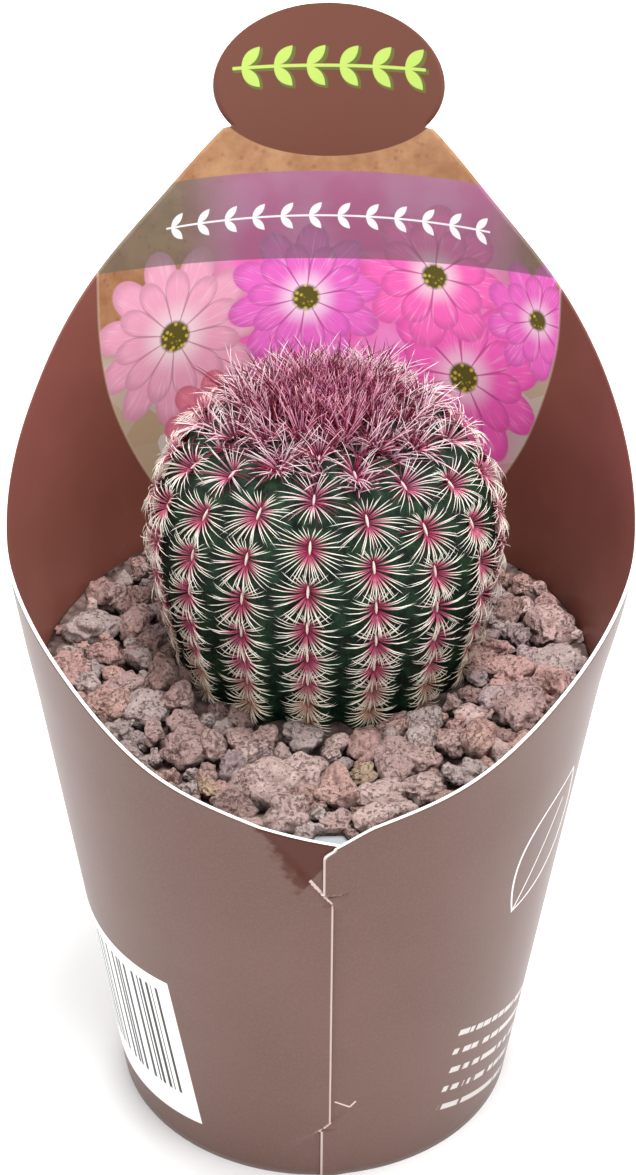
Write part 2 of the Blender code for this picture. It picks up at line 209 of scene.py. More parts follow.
# Spines. Lengths go by the areole's climb from 0 at the gravel to 1 at the top, and in a fan by the angle from
# straight up.
SPINE_SEED = 5
COMB = 38
YOUNG_RADIUS = 0.0235
HEART_RADIUS = 0.0140
OLD_CLIMB = 0.30
SPINE_LENGTHS = ((0.0, 0.25, 0.5, 0.8, 1.0), (0.0044, 0.0052, 0.0062, 0.0066, 0.0064))
FAN_LENGTHS = ((12, 40, 62, 90, 130, 176), (0.36, 0.46, 0.80, 1.0, 0.96, 0.70))
SPINE_RADIUS = 0.000143
SPINE_STATIONS = np.array((0.0, 0.28, 0.55, 0.8, 1.0))
SPINE_SIDES = 3
CROWN_TUFTS = 46
CROWN_NEEDLES = 1200
CROWN_REACH = 0.0172
CROWN_SCATTER = 0.0005
CROWN_SPINE_RADIUS = 0.000158
SUNFLOWER_TURN = 137.508

# Colours of the combs at the base, the middle and the tip of a needle: plain, old, young, at the heart, dusky
COMB_TONES = (
    ((0.30, 0.012, 0.070), (0.32, 0.14, 0.10), (0.46, 0.08, 0.22), (0.28, 0.004, 0.075), (0.25, 0.008, 0.05)),
    ((0.48, 0.11, 0.19), (0.55, 0.40, 0.28), (0.68, 0.36, 0.48), (0.48, 0.06, 0.22), (0.32, 0.03, 0.09)),
    ((0.84, 0.76, 0.66), (0.78, 0.70, 0.56), (0.84, 0.68, 0.70), (0.72, 0.34, 0.46), (0.15, 0.008, 0.030)),
)

# Stones that show in front: x, y, half width, half depth, half height, turn and tint of each, in mm and degrees
SET_STONES = """
    -33.1 16.0 2.0 2.6 1.1 0 0 | -35.5 8.3 3.7 3.8 1.7 0 1 | -30.6 13.9 1.5 1.6 0.7 0 2
    -28.4 16.0 1.9 2.6 1.2 0 2 | -29.1 8.8 2.6 3.3 1.4 0 0 | -26.6 3.6 2.3 3.1 1.4 0 2
    -38.6 -0.9 2.7 3.6 1.7 0 3 | -33.1 1.2 2.6 2.1 1.0 0 3 | -28.2 0.3 1.9 2.5 1.3 35 1
    -31.6 -3.8 1.5 2.0 0.9 0 4 | -35.3 -5.7 1.9 2.6 1.1 0 1 | -29.3 -6.4 2.8 2.8 1.3 0 0
    -24.1 -4.0 2.3 3.0 1.4 0 2 | -32.6 -11.6 3.2 3.7 1.7 -20 4 | -26.3 -12.5 3.2 3.6 1.6 20 1
    -21.1 -9.9 2.5 3.1 1.3 0 0 | -29.7 -17.6 2.6 2.5 1.2 0 1 | -24.8 -17.9 1.7 2.3 1.1 0 0
    -19.9 -16.2 3.2 2.8 1.4 -15 0 | -20.4 -22.2 2.9 3.2 1.4 0 0 | -28.3 -22.9 2.1 2.1 1.0 -30 1
    -36.3 -10.6 1.0 1.6 0.8 -30 0 | -24.4 -24.1 1.2 1.6 0.7 0 1 | -15.3 -22.0 1.9 2.5 1.4 0 0
    -11.7 -19.3 2.1 2.9 1.3 0 0 | -7.8 -19.7 1.9 2.6 1.1 0 0 | -2.7 -18.9 3.1 2.8 1.3 0 1
    -12.5 -25.7 2.4 3.2 1.5 0 6 | -5.1 -28.2 6.2 4.4 2.5 18 5 | 6.6 -20.7 2.6 3.4 1.9 0 3
    2.4 -22.9 1.1 1.6 0.7 0 5 | 11.3 -24.1 3.3 4.2 2.1 0 0 | 15.9 -19.0 2.9 3.3 1.5 -30 1
    2.9 -30.9 3.0 4.0 2.0 15 4 | 6.8 -28.0 2.3 1.9 0.9 0 7 | 9.9 -32.7 3.2 3.3 1.5 10 5
    15.3 -31.4 3.0 2.5 1.2 0 5 | -4.5 -36.8 4.3 3.6 2.0 35 5 | -11.8 -35.8 2.8 2.7 1.3 -20 2
    -0.9 -40.9 2.0 1.7 1.0 0 1 | 3.1 -38.8 2.7 2.2 1.2 25 0 | 10.3 -37.9 4.4 2.8 1.7 25 5
    5.1 -41.0 1.1 1.2 0.6 0 2 | -16.0 -31.6 1.5 2.0 0.9 0 7 | 2.2 -41.8 0.9 0.8 0.4 0 5
    -9.9 -39.0 1.8 1.5 0.7 0 0 | 0.4 -37.0 1.0 1.6 0.7 0 1 | 30.6 13.1 2.6 3.0 1.4 0 2
    36.6 14.6 2.3 1.9 1.0 0 3 | 28.7 11.1 1.4 1.9 0.9 0 6 | 36.6 8.4 3.3 4.2 2.0 0 0
    31.7 6.6 1.8 2.5 1.1 0 6 | 27.5 6.5 1.0 1.6 0.6 0 6 | 28.8 3.2 2.6 2.1 1.0 -20 3
    32.9 1.9 1.6 2.1 0.9 0 6 | 37.4 0.6 3.6 3.0 1.5 -10 1 | 28.0 -0.8 2.5 1.5 0.8 10 3
    25.1 -4.2 1.7 1.9 0.9 0 6 | 30.5 -3.4 3.1 3.2 1.5 0 3 | 37.1 -5.4 3.3 4.2 2.0 0 3
    23.8 -8.5 2.2 1.5 0.8 15 2 | 27.3 -9.1 2.2 2.2 1.0 0 6 | 31.5 -11.8 4.7 5.0 2.3 -15 0
    22.8 -12.7 2.2 2.1 1.0 -10 5 | 21.2 -15.5 1.5 1.9 0.8 0 3 | 24.5 -19.8 2.5 3.3 1.7 0 4
    20.3 -20.3 1.7 2.4 1.1 0 0 | 31.9 -19.2 2.0 1.9 0.9 20 4 | 28.3 -23.0 2.1 2.9 1.2 20 5
    23.9 -27.4 2.5 2.5 1.2 0 1 | 20.5 -27.4 1.6 2.2 1.1 0 1 | 17.5 -28.6 1.3 1.7 0.8 0 2
    40.0 -3.7 0.9 1.6 0.6 20 0 | 16.1 -24.1 2.7 3.4 1.6 0 0
"""
SET_STONES = np.array(SET_STONES.replace("|", " ").split(), float).reshape(-1, 7)

# Tints of the stones: pinkish grey, warm grey, brown, salmon, peach, pale beige, mauve grey, ochre
STONE_TINTS = np.array([
    (0.44, 0.31, 0.285),
    (0.42, 0.345, 0.325),
    (0.33, 0.225, 0.20),
    (0.45, 0.29, 0.26),
    (0.47, 0.31, 0.265),
    (0.52, 0.39, 0.355),
    (0.37, 0.29, 0.29),
    (0.43, 0.32, 0.22),
])


def between(low, high, share):
    return low + (high - low) * share


def smooth(share):
    """Eases a share from 0 to 1, with no slope at either end."""
    share = np.clip(share, 0.0, 1.0)
    return share * share * (3 - 2 * share)


def polar(radius, degrees, height):
    """Points at these radii from the pot's axis, at these angles from the front and these heights."""
    turn = np.radians(degrees)
    radius, turn, height = np.broadcast_arrays(radius, turn, height)
    return np.stack((radius * np.sin(turn), -radius * np.cos(turn), height), axis=-1)


def grid_faces(rows, columns, round_too=False):
    """Four-cornered faces of a grid of points, stored row by row. The last column may close on the first."""
    row = np.arange(rows - 1)[:, None]
    column = np.arange(columns if round_too else columns - 1)[None, :]
    after = (column + 1) % columns
    low, high = row * columns, (row + 1) * columns
    corners = np.broadcast_arrays(low + column, low + after, high + after, high + column)
    return np.stack(corners, axis=-1).reshape(-1, 4)


def repeat_faces(faces, count, step):
    """The faces of one shape, again for each of a number of shapes whose points follow on each other."""
    return (faces[None] + np.arange(count)[:, None, None] * step).reshape(-1, faces.shape[1])


def new_mesh(name, points, *polygons):
    """A mesh of these points and of arrays of corner numbers, one array for each number of corners."""
    mesh = bpy.data.meshes.new(name)
    points = np.asarray(points, float).reshape(-1, 3)
    corners = np.concatenate([faces.ravel() for faces in polygons]).astype(np.int32)
    sizes = np.concatenate([np.full(len(faces), faces.shape[1]) for faces in polygons])
    mesh.vertices.add(len(points))
    mesh.vertices.foreach_set("co", points.ravel())
    mesh.loops.add(len(corners))
    mesh.loops.foreach_set("vertex_index", corners)
    mesh.polygons.add(len(sizes))
    mesh.polygons.foreach_set("loop_start", (np.cumsum(sizes) - sizes).astype(np.int32))
    mesh.update(calc_edges=True)
    mesh.validate()
    mesh.shade_smooth()
    return mesh


def paint(mesh, name, colours):
    """A colour for each point, which the finish reads by its name."""
    colours = np.asarray(colours, float).reshape(-1, colours.shape[-1])
    if colours.shape[1] == 3:
        colours = np.concatenate((colours, np.ones((len(colours), 1))), axis=1)
    layer = mesh.attributes.new(name, "FLOAT_COLOR", "POINT")
    layer.data.foreach_set("color", colours.ravel())


def lay_flat(mesh, name, flat):
    """The piece's own UV map, from one pair of numbers for each point."""
    corners = np.empty(len(mesh.loops), np.int32)
    mesh.loops.foreach_get("vertex_index", corners)
    layer = mesh.uv_layers.new(name=name)
    layer.data.foreach_set("uv", np.asarray(flat, float).reshape(-1, 2)[corners].ravel())


def weld(mesh, outward=True):
    """Merges points that meet, and turns the faces outwards."""
    shape = bmesh.new()
    shape.from_mesh(mesh)
    bmesh.ops.remove_doubles(shape, verts=shape.verts, dist=1e-6)
    if outward:
        bmesh.ops.recalc_face_normals(shape, faces=shape.faces)
    shape.to_mesh(mesh)
    shape.free()


def new_object(name, data):
    made = bpy.data.objects.new(name, data)
    bpy.context.scene.collection.objects.link(made)
    return made


def new_piece(name, mesh, slot, node, *finishes):
    """The mesh as a piece that rides on the root and stands for a node of the part."""
    piece = new_object(name, mesh)
    for finish in finishes:
        mesh.materials.append(finish)
    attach(piece, "root")
    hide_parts(node)
    return piece


class Value:
    """What a finish works out at each point. Plain arithmetic on it adds the nodes for it."""

    def __init__(self, finish, socket):
        self.finish = finish
        self.socket = socket

    def __add__(self, other):
        return self.finish.math("ADD", self, other)

    def __sub__(self, other):
        return self.finish.math("SUBTRACT", self, other)

    def __rsub__(self, other):
        return self.finish.math("SUBTRACT", other, self)

    def __mul__(self, other):
        return self.finish.math("MULTIPLY", self, other)

    def __truediv__(self, other):
        return self.finish.math("DIVIDE", self, other)

    def __mod__(self, other):
        return self.finish.math("FLOORED_MODULO", self, other)

    def __abs__(self):
        return self.finish.math("ABSOLUTE", self)

    def larger(self, other):
        return self.finish.math("MAXIMUM", self, other)

    def spread(self, low, high, to_low=0.0, to_high=1.0):
        """The value's place from low to high, eased, as a number from one end to the other."""
        places = {"Value": self, "From Min": low, "From Max": high, "To Min": to_low, "To Max": to_high}
        return self.finish.value("MapRange", places, interpolation_type="SMOOTHSTEP")

    def inside(self, edge, soft=0.15):
        """1 where the value is under the edge and 0 above it, with a soft step between."""
        return self.spread(edge - soft, edge + soft, 1.0, 0.0)


class Finish:
    """A material and the nodes that are added to it."""

    def __init__(self, name, **constants):
        self.material = bpy.data.materials.new(name)
        self.material.use_nodes = True
        self.tree = self.material.node_tree
        self.shader = self.tree.nodes["Principled BSDF"]
        for socket, value in constants.items():
            self.shader.inputs[socket.replace("_", " ")].default_value = value

    def node(self, kind, inputs=(), **settings):
        made = self.tree.nodes.new("ShaderNode" + kind)
        for setting, chosen in settings.items():
            setattr(made, setting, chosen)
        for socket, given in dict(inputs).items():
            self.feed(made.inputs[socket], given)
        return made

    def value(self, kind, inputs=(), output=0, **settings):
        return Value(self, self.node(kind, inputs, **settings).outputs[output])

    def feed(self, socket, given):
        """Links a socket to a value, or gives it a number or colour."""
        if isinstance(given, Value):
            self.tree.links.new(given.socket, socket)
        elif socket.type == "RGBA":
            socket.default_value = (*given, 1.0)
        else:
            socket.default_value = given

    def math(self, operation, first, second=0.0):
        return self.value("Math", {0: first, 1: second}, operation=operation)

    def mix(self, share, under, over, blend="MIX"):
        made = self.node("Mix", data_type="RGBA", blend_type=blend)
        colours = [socket for socket in made.inputs if socket.type == "RGBA"]
        for socket, given in zip((made.inputs[0], *colours), (share, under, over)):
            self.feed(socket, given)
        return Value(self, next(socket for socket in made.outputs if socket.type == "RGBA"))

    def times(self, colour, factors):
        """The colour with its red, green and blue multiplied."""
        return self.mix(1.0, colour, factors, "MULTIPLY")

    def ramp(self, share, *stops):
        """A colour for each place along the share, from (place, colour) pairs."""
        made = self.node("ValToRGB", {0: share})
        bars = made.color_ramp.elements
        while len(bars) < len(stops):
            bars.new(0.5)
        for bar, (place, colour) in zip(bars, stops):
            bar.position = place
            bar.color = (*colour, 1.0)
        return Value(self, made.outputs[0])

    def places(self):
        """The point on the piece, in metres."""
        return self.value("TexCoord", output="Object")

    def noise(self, where, scale, detail=2.0, rough=0.5):
        return self.value("TexNoise", {"Vector": where, "Scale": scale, "Detail": detail, "Roughness": rough})

    def cells(self, where, scale, output="Distance"):
        return self.value("TexVoronoi", {"Vector": where, "Scale": scale}, output)

    def painted(self, name):
        return self.value("Attribute", output="Color", attribute_name=name)

    def apart(self, vector):
        return [Value(self, socket) for socket in self.node("SeparateXYZ", {0: vector}).outputs]

    def together(self, x, y, z=0.0):
        return self.value("CombineXYZ", {0: x, 1: y, 2: z})

    def relief(self, height, distance, strength=1.0):
        bump = self.value("Bump", {"Height": height, "Distance": distance, "Strength": strength})
        self.feed(self.shader.inputs["Normal"], bump)

    def colour(self, given):
        self.feed(self.shader.inputs["Base Color"], given)


# Card sleeve


def sleeve_radius(height):
    """Outer radius of the card cone."""
    return SLEEVE_FOOT_RADIUS + SLEEVE_FLARE * height


def card_rim(degrees):
    """Height of the sleeve's cut edge: a smooth curve through its knots, the same on both sides."""
    side = np.clip(np.minimum(degrees, 360.0 - degrees), 0.0, CARD_RIM[-1, 0])
    i = np.clip(np.searchsorted(CARD_RIM[:, 0], side, "right") - 1, 0, len(CARD_RIM) - 2)
    start, end = CARD_RIM[i], CARD_RIM[i + 1]
    before, after = CARD_RIM[np.maximum(i - 1, 0)], CARD_RIM[np.minimum(i + 2, len(CARD_RIM) - 1)]
    span, rise = end[..., 0] - start[..., 0], end[..., 1] - start[..., 1]
    leaving = (end[..., 1] - before[..., 1]) / (end[..., 0] - before[..., 0]) * span - rise
    arriving = (after[..., 1] - start[..., 1]) / (after[..., 0] - start[..., 0]) * span - rise
    share = (side - start[..., 0]) / span
    return start[..., 1] + rise * share + share * (1 - share) * ((1 - share) * leaving - share * arriving)


def flat_sheet(degrees, height):
    """Where a point of the cone lies on the flat sheet, its middle line up the back: x right as seen from
    the front, y the distance from the cone's tip, both in SHEET_UNIT."""
    slope = math.atan(SLEEVE_FLARE)
    along = (height + SLEEVE_FOOT_RADIUS / SLEEVE_FLARE) / math.cos(slope)
    turn = np.radians(180.0 - degrees) * math.sin(slope)
    return np.stack((along * np.sin(turn), along * np.cos(turn)), axis=-1) / SHEET_UNIT


def left_outside(side, height):
    """1 where the sheet's left end lies outside the right one, between the two slits that hook them together.
    The angle is counted from the front, and each slit climbs evenly with it."""
    low, high = (start + slope * side for start, slope in zip(SLIT_HEIGHT, SLIT_SLOPE))
    return smooth((height - low) / SLIT_ROUND) * smooth((high - height) / SLIT_ROUND)


def seam_lift(degrees, height):
    """How far each end of the sheet stands off the cone where the two lap, eased in along the card."""
    side = np.where(degrees > 180.0, degrees - 360.0, degrees)
    outer = left_outside(side, height)
    left = smooth((degrees - (360.0 - FLAP_RAMP)) / FLAP_RAMP) * outer
    right = smooth((FLAP_RAMP - degrees) / FLAP_RAMP) * (1 - outer)
    return FLAP_LIFT * (left + right)


def seam_edges(height):
    """The angles at which the right and the left end of the sheet are cut: the end that lies outside shows its
    edge near the seam, with a round corner at the top, and the other runs on beneath it."""
    radius = sleeve_radius(height)
    outer = left_outside(1.6, height)
    corner = FRONT_CORNER_TURN * smooth((height - FRONT_CORNER[0]) / FRONT_CORNER[1]) ** 2
    right = between(np.degrees(RIGHT_EDGE / radius) + corner, -UNDER_FLAP, outer)
    left = between(OVER_FLAP, np.degrees(LEFT_EDGE / radius), left_outside(3.0, height))
    return right, 360.0 + left


def sleeve_lean(height):
    """How far the card leans to the right and how much wider it stands open, growing with the height."""
    steps = ((0.00035, 0.085, 0.015), (0.0004, 0.105, 0.015), (0.0004, 0.130, 0.020))
    right = sum(shift * smooth((height - start) / reach) for shift, start, reach in steps)
    wider = 0.0005 * smooth((height - 0.080) / 0.020) * (1 - smooth((height - 0.118) / 0.020))
    return right, wider


def build_sleeve():
    """The card: angle along the grid's columns, share of the way from foot to rim along its rows. The columns
    near the seam are drawn out to the cut ends, and the oval tab goes on above the neck, where each row is as
    wide as the ellipse there. The wall goes inwards from it, and its rim is the white cut edge."""
    neck_turn = math.radians(TAB_NECK_TURN)
    neck = TAB_HALF_ANGLE * math.cos(neck_turn)
    neck_height = TAB_HEIGHT - TAB_HALF_HEIGHT * math.sin(neck_turn)
    near_slits = np.array((0.0105, 0.0155, 0.0640, 0.0725)) / CARD_RIM[0, 1]
    stretches = zip((0.0, *near_slits), (*near_slits, 1.0), (10, 12, 34, 20, 12))
    rows = np.concatenate([np.linspace(low, high, count)[:-1] for low, high, count in stretches] + [[1.0]])
    side = np.concatenate((np.linspace(0, FLAP_RAMP, 28)[:-1], np.linspace(FLAP_RAMP, 180 - neck, 100)))
    across = np.linspace(180 - neck, 180 + neck, 37)
    columns = np.concatenate((side[:-1], across, 360 - side[-2::-1]))
    on_tab = np.arange(len(side) - 1, len(side) - 1 + len(across))
    rim = card_rim(columns)
    rim[on_tab] = neck_height
    even, height = np.broadcast_arrays(columns[None, :], rows[:, None] * rim[None, :])
    right, left = seam_edges(height)
    degrees = np.where(even < FLAP_RAMP, right + even * (FLAP_RAMP - right) / FLAP_RAMP, even)
    start = 360.0 - FLAP_RAMP
    degrees = np.where(even > start, start + (even - start) * (left - start) / FLAP_RAMP, degrees)
    from_cut = np.radians(np.where(even < 180.0, degrees - right, left - degrees)) * sleeve_radius(height)
    from_cut = np.clip(from_cut / CUT_REACH, 0.0, 1.0).ravel()
    turns = np.radians(np.linspace(-TAB_NECK_TURN, 90, 30))[1:, None]
    share = np.linspace(-1, 1, len(across))[None, :]
    oval_degrees, oval_height = np.broadcast_arrays(
        180 + TAB_HALF_ANGLE * np.cos(turns) * share, TAB_HEIGHT + TAB_HALF_HEIGHT * np.sin(turns)
    )
    body = degrees.size
    oval = np.arange(oval_degrees.size).reshape(oval_degrees.shape) + body
    oval = np.concatenate((((len(rows) - 1) * len(columns) + on_tab)[None, :], oval))
    oval_faces = np.stack((oval[:-1, :-1], oval[:-1, 1:], oval[1:, 1:], oval[1:, :-1]), axis=-1).reshape(-1, 4)
    degrees = np.concatenate((degrees.ravel(), oval_degrees.ravel()))
    height = np.concatenate((height.ravel(), oval_height.ravel()))
    right, wider = sleeve_lean(height)
    points = polar(sleeve_radius(height) + wider + seam_lift(degrees, height), degrees, height)
    points[:, 0] += right
    mesh = new_mesh("card_sleeve", points, grid_faces(len(rows), len(columns)), oval_faces)
    lay_flat(mesh, "Flat sheet", flat_sheet(degrees, height))
    from_cut = np.concatenate((from_cut, np.ones(len(degrees) - len(from_cut))))
    paint(mesh, "Cut", np.repeat(from_cut[:, None], 3, axis=1))
    weld(mesh, outward=False)
    sleeve = new_piece("card_sleeve", mesh, "printed_card", "sleeve", card_outside(), card_inside(), card_edge())
    wall = sleeve.modifiers.new("Card", "SOLIDIFY")
    wall.thickness = CARD
    wall.offset = -1.0
    wall.material_offset = 1
    wall.material_offset_rim = 2


def sheet_mm(finish):
    """x and y on the flat sheet in millimetres."""
    flat = finish.value("UVMap", uv_map="Flat sheet")
    return finish.value("VectorMath", {0: flat, 1: (SHEET_UNIT / MM, SHEET_UNIT / MM, 0.0)}, operation="MULTIPLY")


def turned_about(where, centre, degrees=0.0):
    """x and y on the sheet from a centre, turned by an angle."""
    settings = {"Vector": where, "Location": (*centre, 0.0), "Rotation": (0.0, 0.0, math.radians(degrees))}
    return where.finish.apart(where.finish.value("Mapping", settings, vector_type="TEXTURE"))[:2]


def box_mask(where, centre, degrees, half_width, half_height, soft=0.08):
    """1 inside a turned rectangle on the sheet, and its two coordinates."""
    x, y = turned_about(where, centre, degrees)
    return abs(x).inside(half_width, soft) * abs(y).inside(half_height, soft), x, y


def stroke(where, start, end, half_width):
    """1 along a straight stroke between two points of the cone, each given as an angle and a height."""
    start, end = (flat_sheet(*point) * SHEET_UNIT / MM for point in (start, end))
    x, y = end - start
    degrees = math.degrees(math.atan2(y, x))
    return box_mask(where, (start + end) / 2, degrees, math.hypot(x, y) / 2, half_width, 0.06)[0]


def leaf_bulge(share, half_width):
    """Half width of a pointed leaf at a share of its length: a parabola."""
    return share * (1.0 - share) * (4 * half_width)


def sprig(where, centre, half_length, pitch, leaf, thin):
    """A straight twig with pairs of leaves. Along the twig the place is taken modulo the pitch, and a leaf is
    what lies nearer to its slanting axis than a parabola of its length and half width."""
    x, y = turned_about(where, centre)
    high = abs(y)
    local = x % pitch - 0.32 * pitch
    slant = math.radians(LEAF_SLANT)
    along = local * math.cos(slant) + high * math.sin(slant)
    across = high * math.cos(slant) - local * math.sin(slant)
    leaves = (abs(across) - leaf_bulge(along / leaf[0], leaf[1])).inside(0.0, 0.07)
    return leaves.larger(high.inside(thin, 0.06)) * abs(x).inside(half_length, 0.1)


def leaf_line(where, base, degrees, length, half_width, line):
    """The outline of one pointed leaf, with its midrib."""
    x, y = turned_about(where, base, degrees)
    share = x / length
    rim = abs(abs(y) - leaf_bulge(share, half_width)).inside(line, 0.08)
    rib = abs(y).inside(0.6 * line, 0.06) * share.inside(0.8, 0.01)
    return rim.larger(rib) * abs(share - 0.5).inside(0.51, 0.005)


def blossom(where, under, centre, reach, petals, degrees, tip, throat):
    """A round open flower laid over a colour. Its outline is a cosine of the petal count, the throat is pale,
    the veins are noise drawn out along the petals, and a second ring of shorter petals lies on the first."""
    finish = where.finish
    x, y = turned_about(where, centre, degrees)
    out = finish.math("SQRT", x * x + y * y)
    turn = finish.math("ARCTAN2", y, x)
    tip = np.array(tip)
    colour = under
    for ring, size in enumerate((reach, 0.74 * reach)):
        wave = abs(finish.math("COSINE", turn * (petals / 2) + ring * math.pi / 2))
        share = out / ((finish.math("POWER", wave, 0.55) * 0.40 + 0.60) * size)
        veins = finish.noise(finish.together(turn * (petals * 1.3), out * 0.09, ring * 3.0), 2.2, 3.0)
        petal = finish.mix((out / size).spread(0.18, 0.62), throat, tip)
        petal = finish.mix(veins.spread(0.5, 0.75) * 0.45, petal, throat)
        petal = finish.mix(share.spread(0.80, 1.0) * 0.5, petal, 0.55 * tip)
        petal = finish.mix(wave.inside(0.16, 0.12), petal, 0.62 * tip)
        colour = finish.mix(share.inside(1.0, 0.02), colour, petal)
    anthers = finish.cells(finish.together(x, y), 1.1)
    stamens = finish.mix(anthers.inside(0.35, 0.12), (0.10, 0.085, 0.010), (0.56, 0.44, 0.06))
    return finish.mix(out.inside(0.17 * reach, 0.4), colour, stamens)


def card_outside():
    """Brown, with a white label of plain bars, rows of plain dashes, a leaf in outline and pale cut edges. By the
    seam a darker patch is painted shade, where the card curls in and loses its sheen."""
    finish = Finish(
        "Varnished brown card", Roughness=0.40, Specular_IOR_Level=0.13, Coat_Weight=0.05, Coat_Roughness=0.2,
        Sheen_Weight=0.12, Sheen_Roughness=0.35,
    )
    where = sheet_mm(finish)
    grain = finish.noise(finish.places(), 2600.0, 2.0)
    patch = finish.noise(finish.places(), 38.0, 3.0)
    brown = finish.mix(patch.spread(0.3, 0.7), OUTER_BROWN[0], OUTER_BROWN[1])
    brown = finish.mix(grain.spread(0.35, 0.75) * 0.35, brown, OUTER_BROWN[2])
    ragged = (finish.noise(where, 0.55, 4.0, 0.6) - 0.5) * 6.0
    # Painted shade by the seam, where the card curls in and loses its sheen
    _, above = turned_about(where, CURL_SHADE_CORNER, CURL_SHADE_TURN)
    curl_shade = above.spread(0.2, -0.2) * (finish.apart(where)[0] + ragged).spread(*CURL_SHADE_SIDE)
    brown = finish.mix(curl_shade * 0.92, brown, CURL_SHADE_BROWN)
    ink = leaf_line(where, *LEAF)
    for row in range(DASH_ROWS):
        mask, x, _ = box_mask(where, DASH_FIRST + row * DASH_STEP, 0.0, *DASH_HALF)
        dash = finish.noise(finish.together(x, 7.3 * row), 0.9, 1.0)
        ink = ink.larger(mask * dash.spread(0.42, 0.46) * 0.62)
    colour = finish.mix(ink, brown, PRINT_WHITE)
    from_cut = finish.apart(finish.painted("Cut"))[0]
    colour = finish.mix(from_cut.inside(0.055, 0.02) * 0.85, colour, (0.58, 0.44, 0.40))
    for *ends, half_width in SLITS:
        line = stroke(where, ends[:2], ends[2:], half_width)
        colour = finish.mix(line * 0.85, colour, (0.66, 0.52, 0.48))
    label, x, y = box_mask(where, *LABEL)
    bars_width, bars_height, bars_rise = LABEL_BARS
    bars = finish.math("SINE", x * 5.3) + finish.math("SINE", x * 3.1 + 0.9)
    bars = bars.spread(0.0, 0.3) * abs(x).inside(bars_width, 0.05) * abs(y - bars_rise).inside(bars_height, 0.05)
    finish.colour(finish.mix(label, colour, finish.mix(bars, (0.86, 0.86, 0.85), (0.035, 0.035, 0.035))))
    finish.relief(grain, 0.00002, 0.4)
    return finish.material


def card_inside():
    """Brown, with a printed panel on the back: flowers, a tinted band above them, sandy stone at the neck,
    and a brown oval with a lime sprig on the tab."""
    finish = Finish("Printed card inside", Roughness=0.45, Coat_Weight=0.08, Coat_Roughness=0.3)
    where = sheet_mm(finish)
    x, y, _ = finish.apart(where)
    grain = finish.noise(finish.places(), 2600.0, 2.0)
    patch = finish.noise(finish.places(), 60.0, 4.0)
    scuff = finish.noise(finish.places(), 240.0, 5.0, 0.7)
    brown = finish.mix(patch.spread(0.3, 0.7), *INNER_BROWN)
    brown = finish.mix(scuff.spread(0.55, 0.8) * y.spread(325.0, 300.0, 0.05, 0.4), brown, (0.26, 0.16, 0.14))
    # Painted light: the left inner wall is lightened towards a redder brown, as it gets less of the lamps' light
    brown = finish.mix(x.spread(-20.0, -75.0, 0.0, 0.30), brown, (0.30, 0.11, 0.082))
    # Sandy stone at the neck, pebbles at the panel's sides
    sand = finish.mix(finish.noise(where, 0.16, 4.0, 0.6).spread(0.3, 0.7), (0.29, 0.125, 0.050), (0.44, 0.24, 0.115))
    sand = finish.mix(finish.cells(where, 0.55).inside(0.2, 0.1) * 0.6, sand, (0.25, 0.09, 0.035))
    stones = finish.apart(finish.cells(where, 0.13, "Color"))[0]
    pebbles = finish.mix(stones, (0.62, 0.56, 0.52), (0.45, 0.33, 0.20))
    ground = finish.mix(y.spread(347.0, 338.0), sand, pebbles)
    haze = finish.noise(where, 0.075, 3.0, 0.5)
    blush = finish.mix(haze.spread(0.35, 0.65), (0.80, 0.09, 0.42), (0.84, 0.26, 0.58))
    picture = finish.mix(abs(x - 6.0).inside(25.0, 7.0), ground, blush)
    for flower in BLOSSOMS:
        picture = blossom(where, picture, *flower)
    # Tinted band, the sand above it, and the panel's edge
    band = finish.mix(0.66, picture, (0.076, 0.100, 0.078))
    band = finish.mix(sprig(where, *BAND_SPRIG), band, LEAF_WHITE)
    picture = finish.mix((y - x * x * BAND_SAG).spread(BAND_LOW, BAND_LOW + 0.15), picture, band)
    picture = finish.mix(y.spread(BAND_TOP, BAND_TOP + 0.2), picture, sand)
    below = (PANEL_WIDEST - y).larger(0.0)
    beyond = abs(x - PANEL_MIDDLE) - (PANEL_HALF - below * below * PANEL_NARROWING)
    colour = finish.mix(beyond.inside(0.0, 0.08) * y.spread(PANEL_FOOT, PANEL_FOOT + 0.3), brown, picture)
    rule = abs(beyond).inside(0.25, 0.1) * y.spread(PANEL_FOOT, PANEL_FOOT + 1.0, 0.0, 0.35)
    colour = finish.mix(rule, colour, (0.62, 0.50, 0.36))
    oval_height, half_width, half_height = OVAL
    oval_x, oval_y = x / half_width, (y - oval_height) / half_height
    tab = finish.mix(sprig(where, *TAB_SHADE), TAB_BROWN, (0.10, 0.11, 0.010))
    tab = finish.mix(sprig(where, *TAB_SPRIG), tab, (0.42, 0.58, 0.10))
    finish.colour(finish.mix((oval_x * oval_x + oval_y * oval_y).inside(1.0, 0.01), colour, tab))
    finish.relief(grain, 0.00002, 0.4)
    return finish.material


def card_edge():
    finish = Finish("White cut edge of the card", Roughness=0.7)
    fibre = finish.noise(finish.places(), 3000.0, 2.0)
    finish.colour(finish.mix(fibre, (0.86, 0.84, 0.82), (0.95, 0.94, 0.93)))
    return finish.material


# Pot and soil


def finish_pot():
    finish = Finish("Pale grey pot plastic", Roughness=0.38)
    cloud = finish.noise(finish.places(), 70.0, 3.0)
    finish.colour(finish.mix(cloud, (0.33, 0.36, 0.37), (0.41, 0.44, 0.45)))
    finish.relief(finish.noise(finish.places(), 900.0, 2.0), 0.00004, 0.3)
    return finish.material


def finish_soil():
    finish = Finish("Dark potting soil", Roughness=0.95)
    crumbs = finish.cells(finish.places(), 700.0)
    earth = (0.0, (0.060, 0.040, 0.028)), (0.5, (0.022, 0.014, 0.010)), (1.0, (0.008, 0.005, 0.004))
    finish.colour(finish.ramp(crumbs, *earth))
    finish.relief(crumbs, 0.0006, 0.9)
    return finish.material


# Gravel


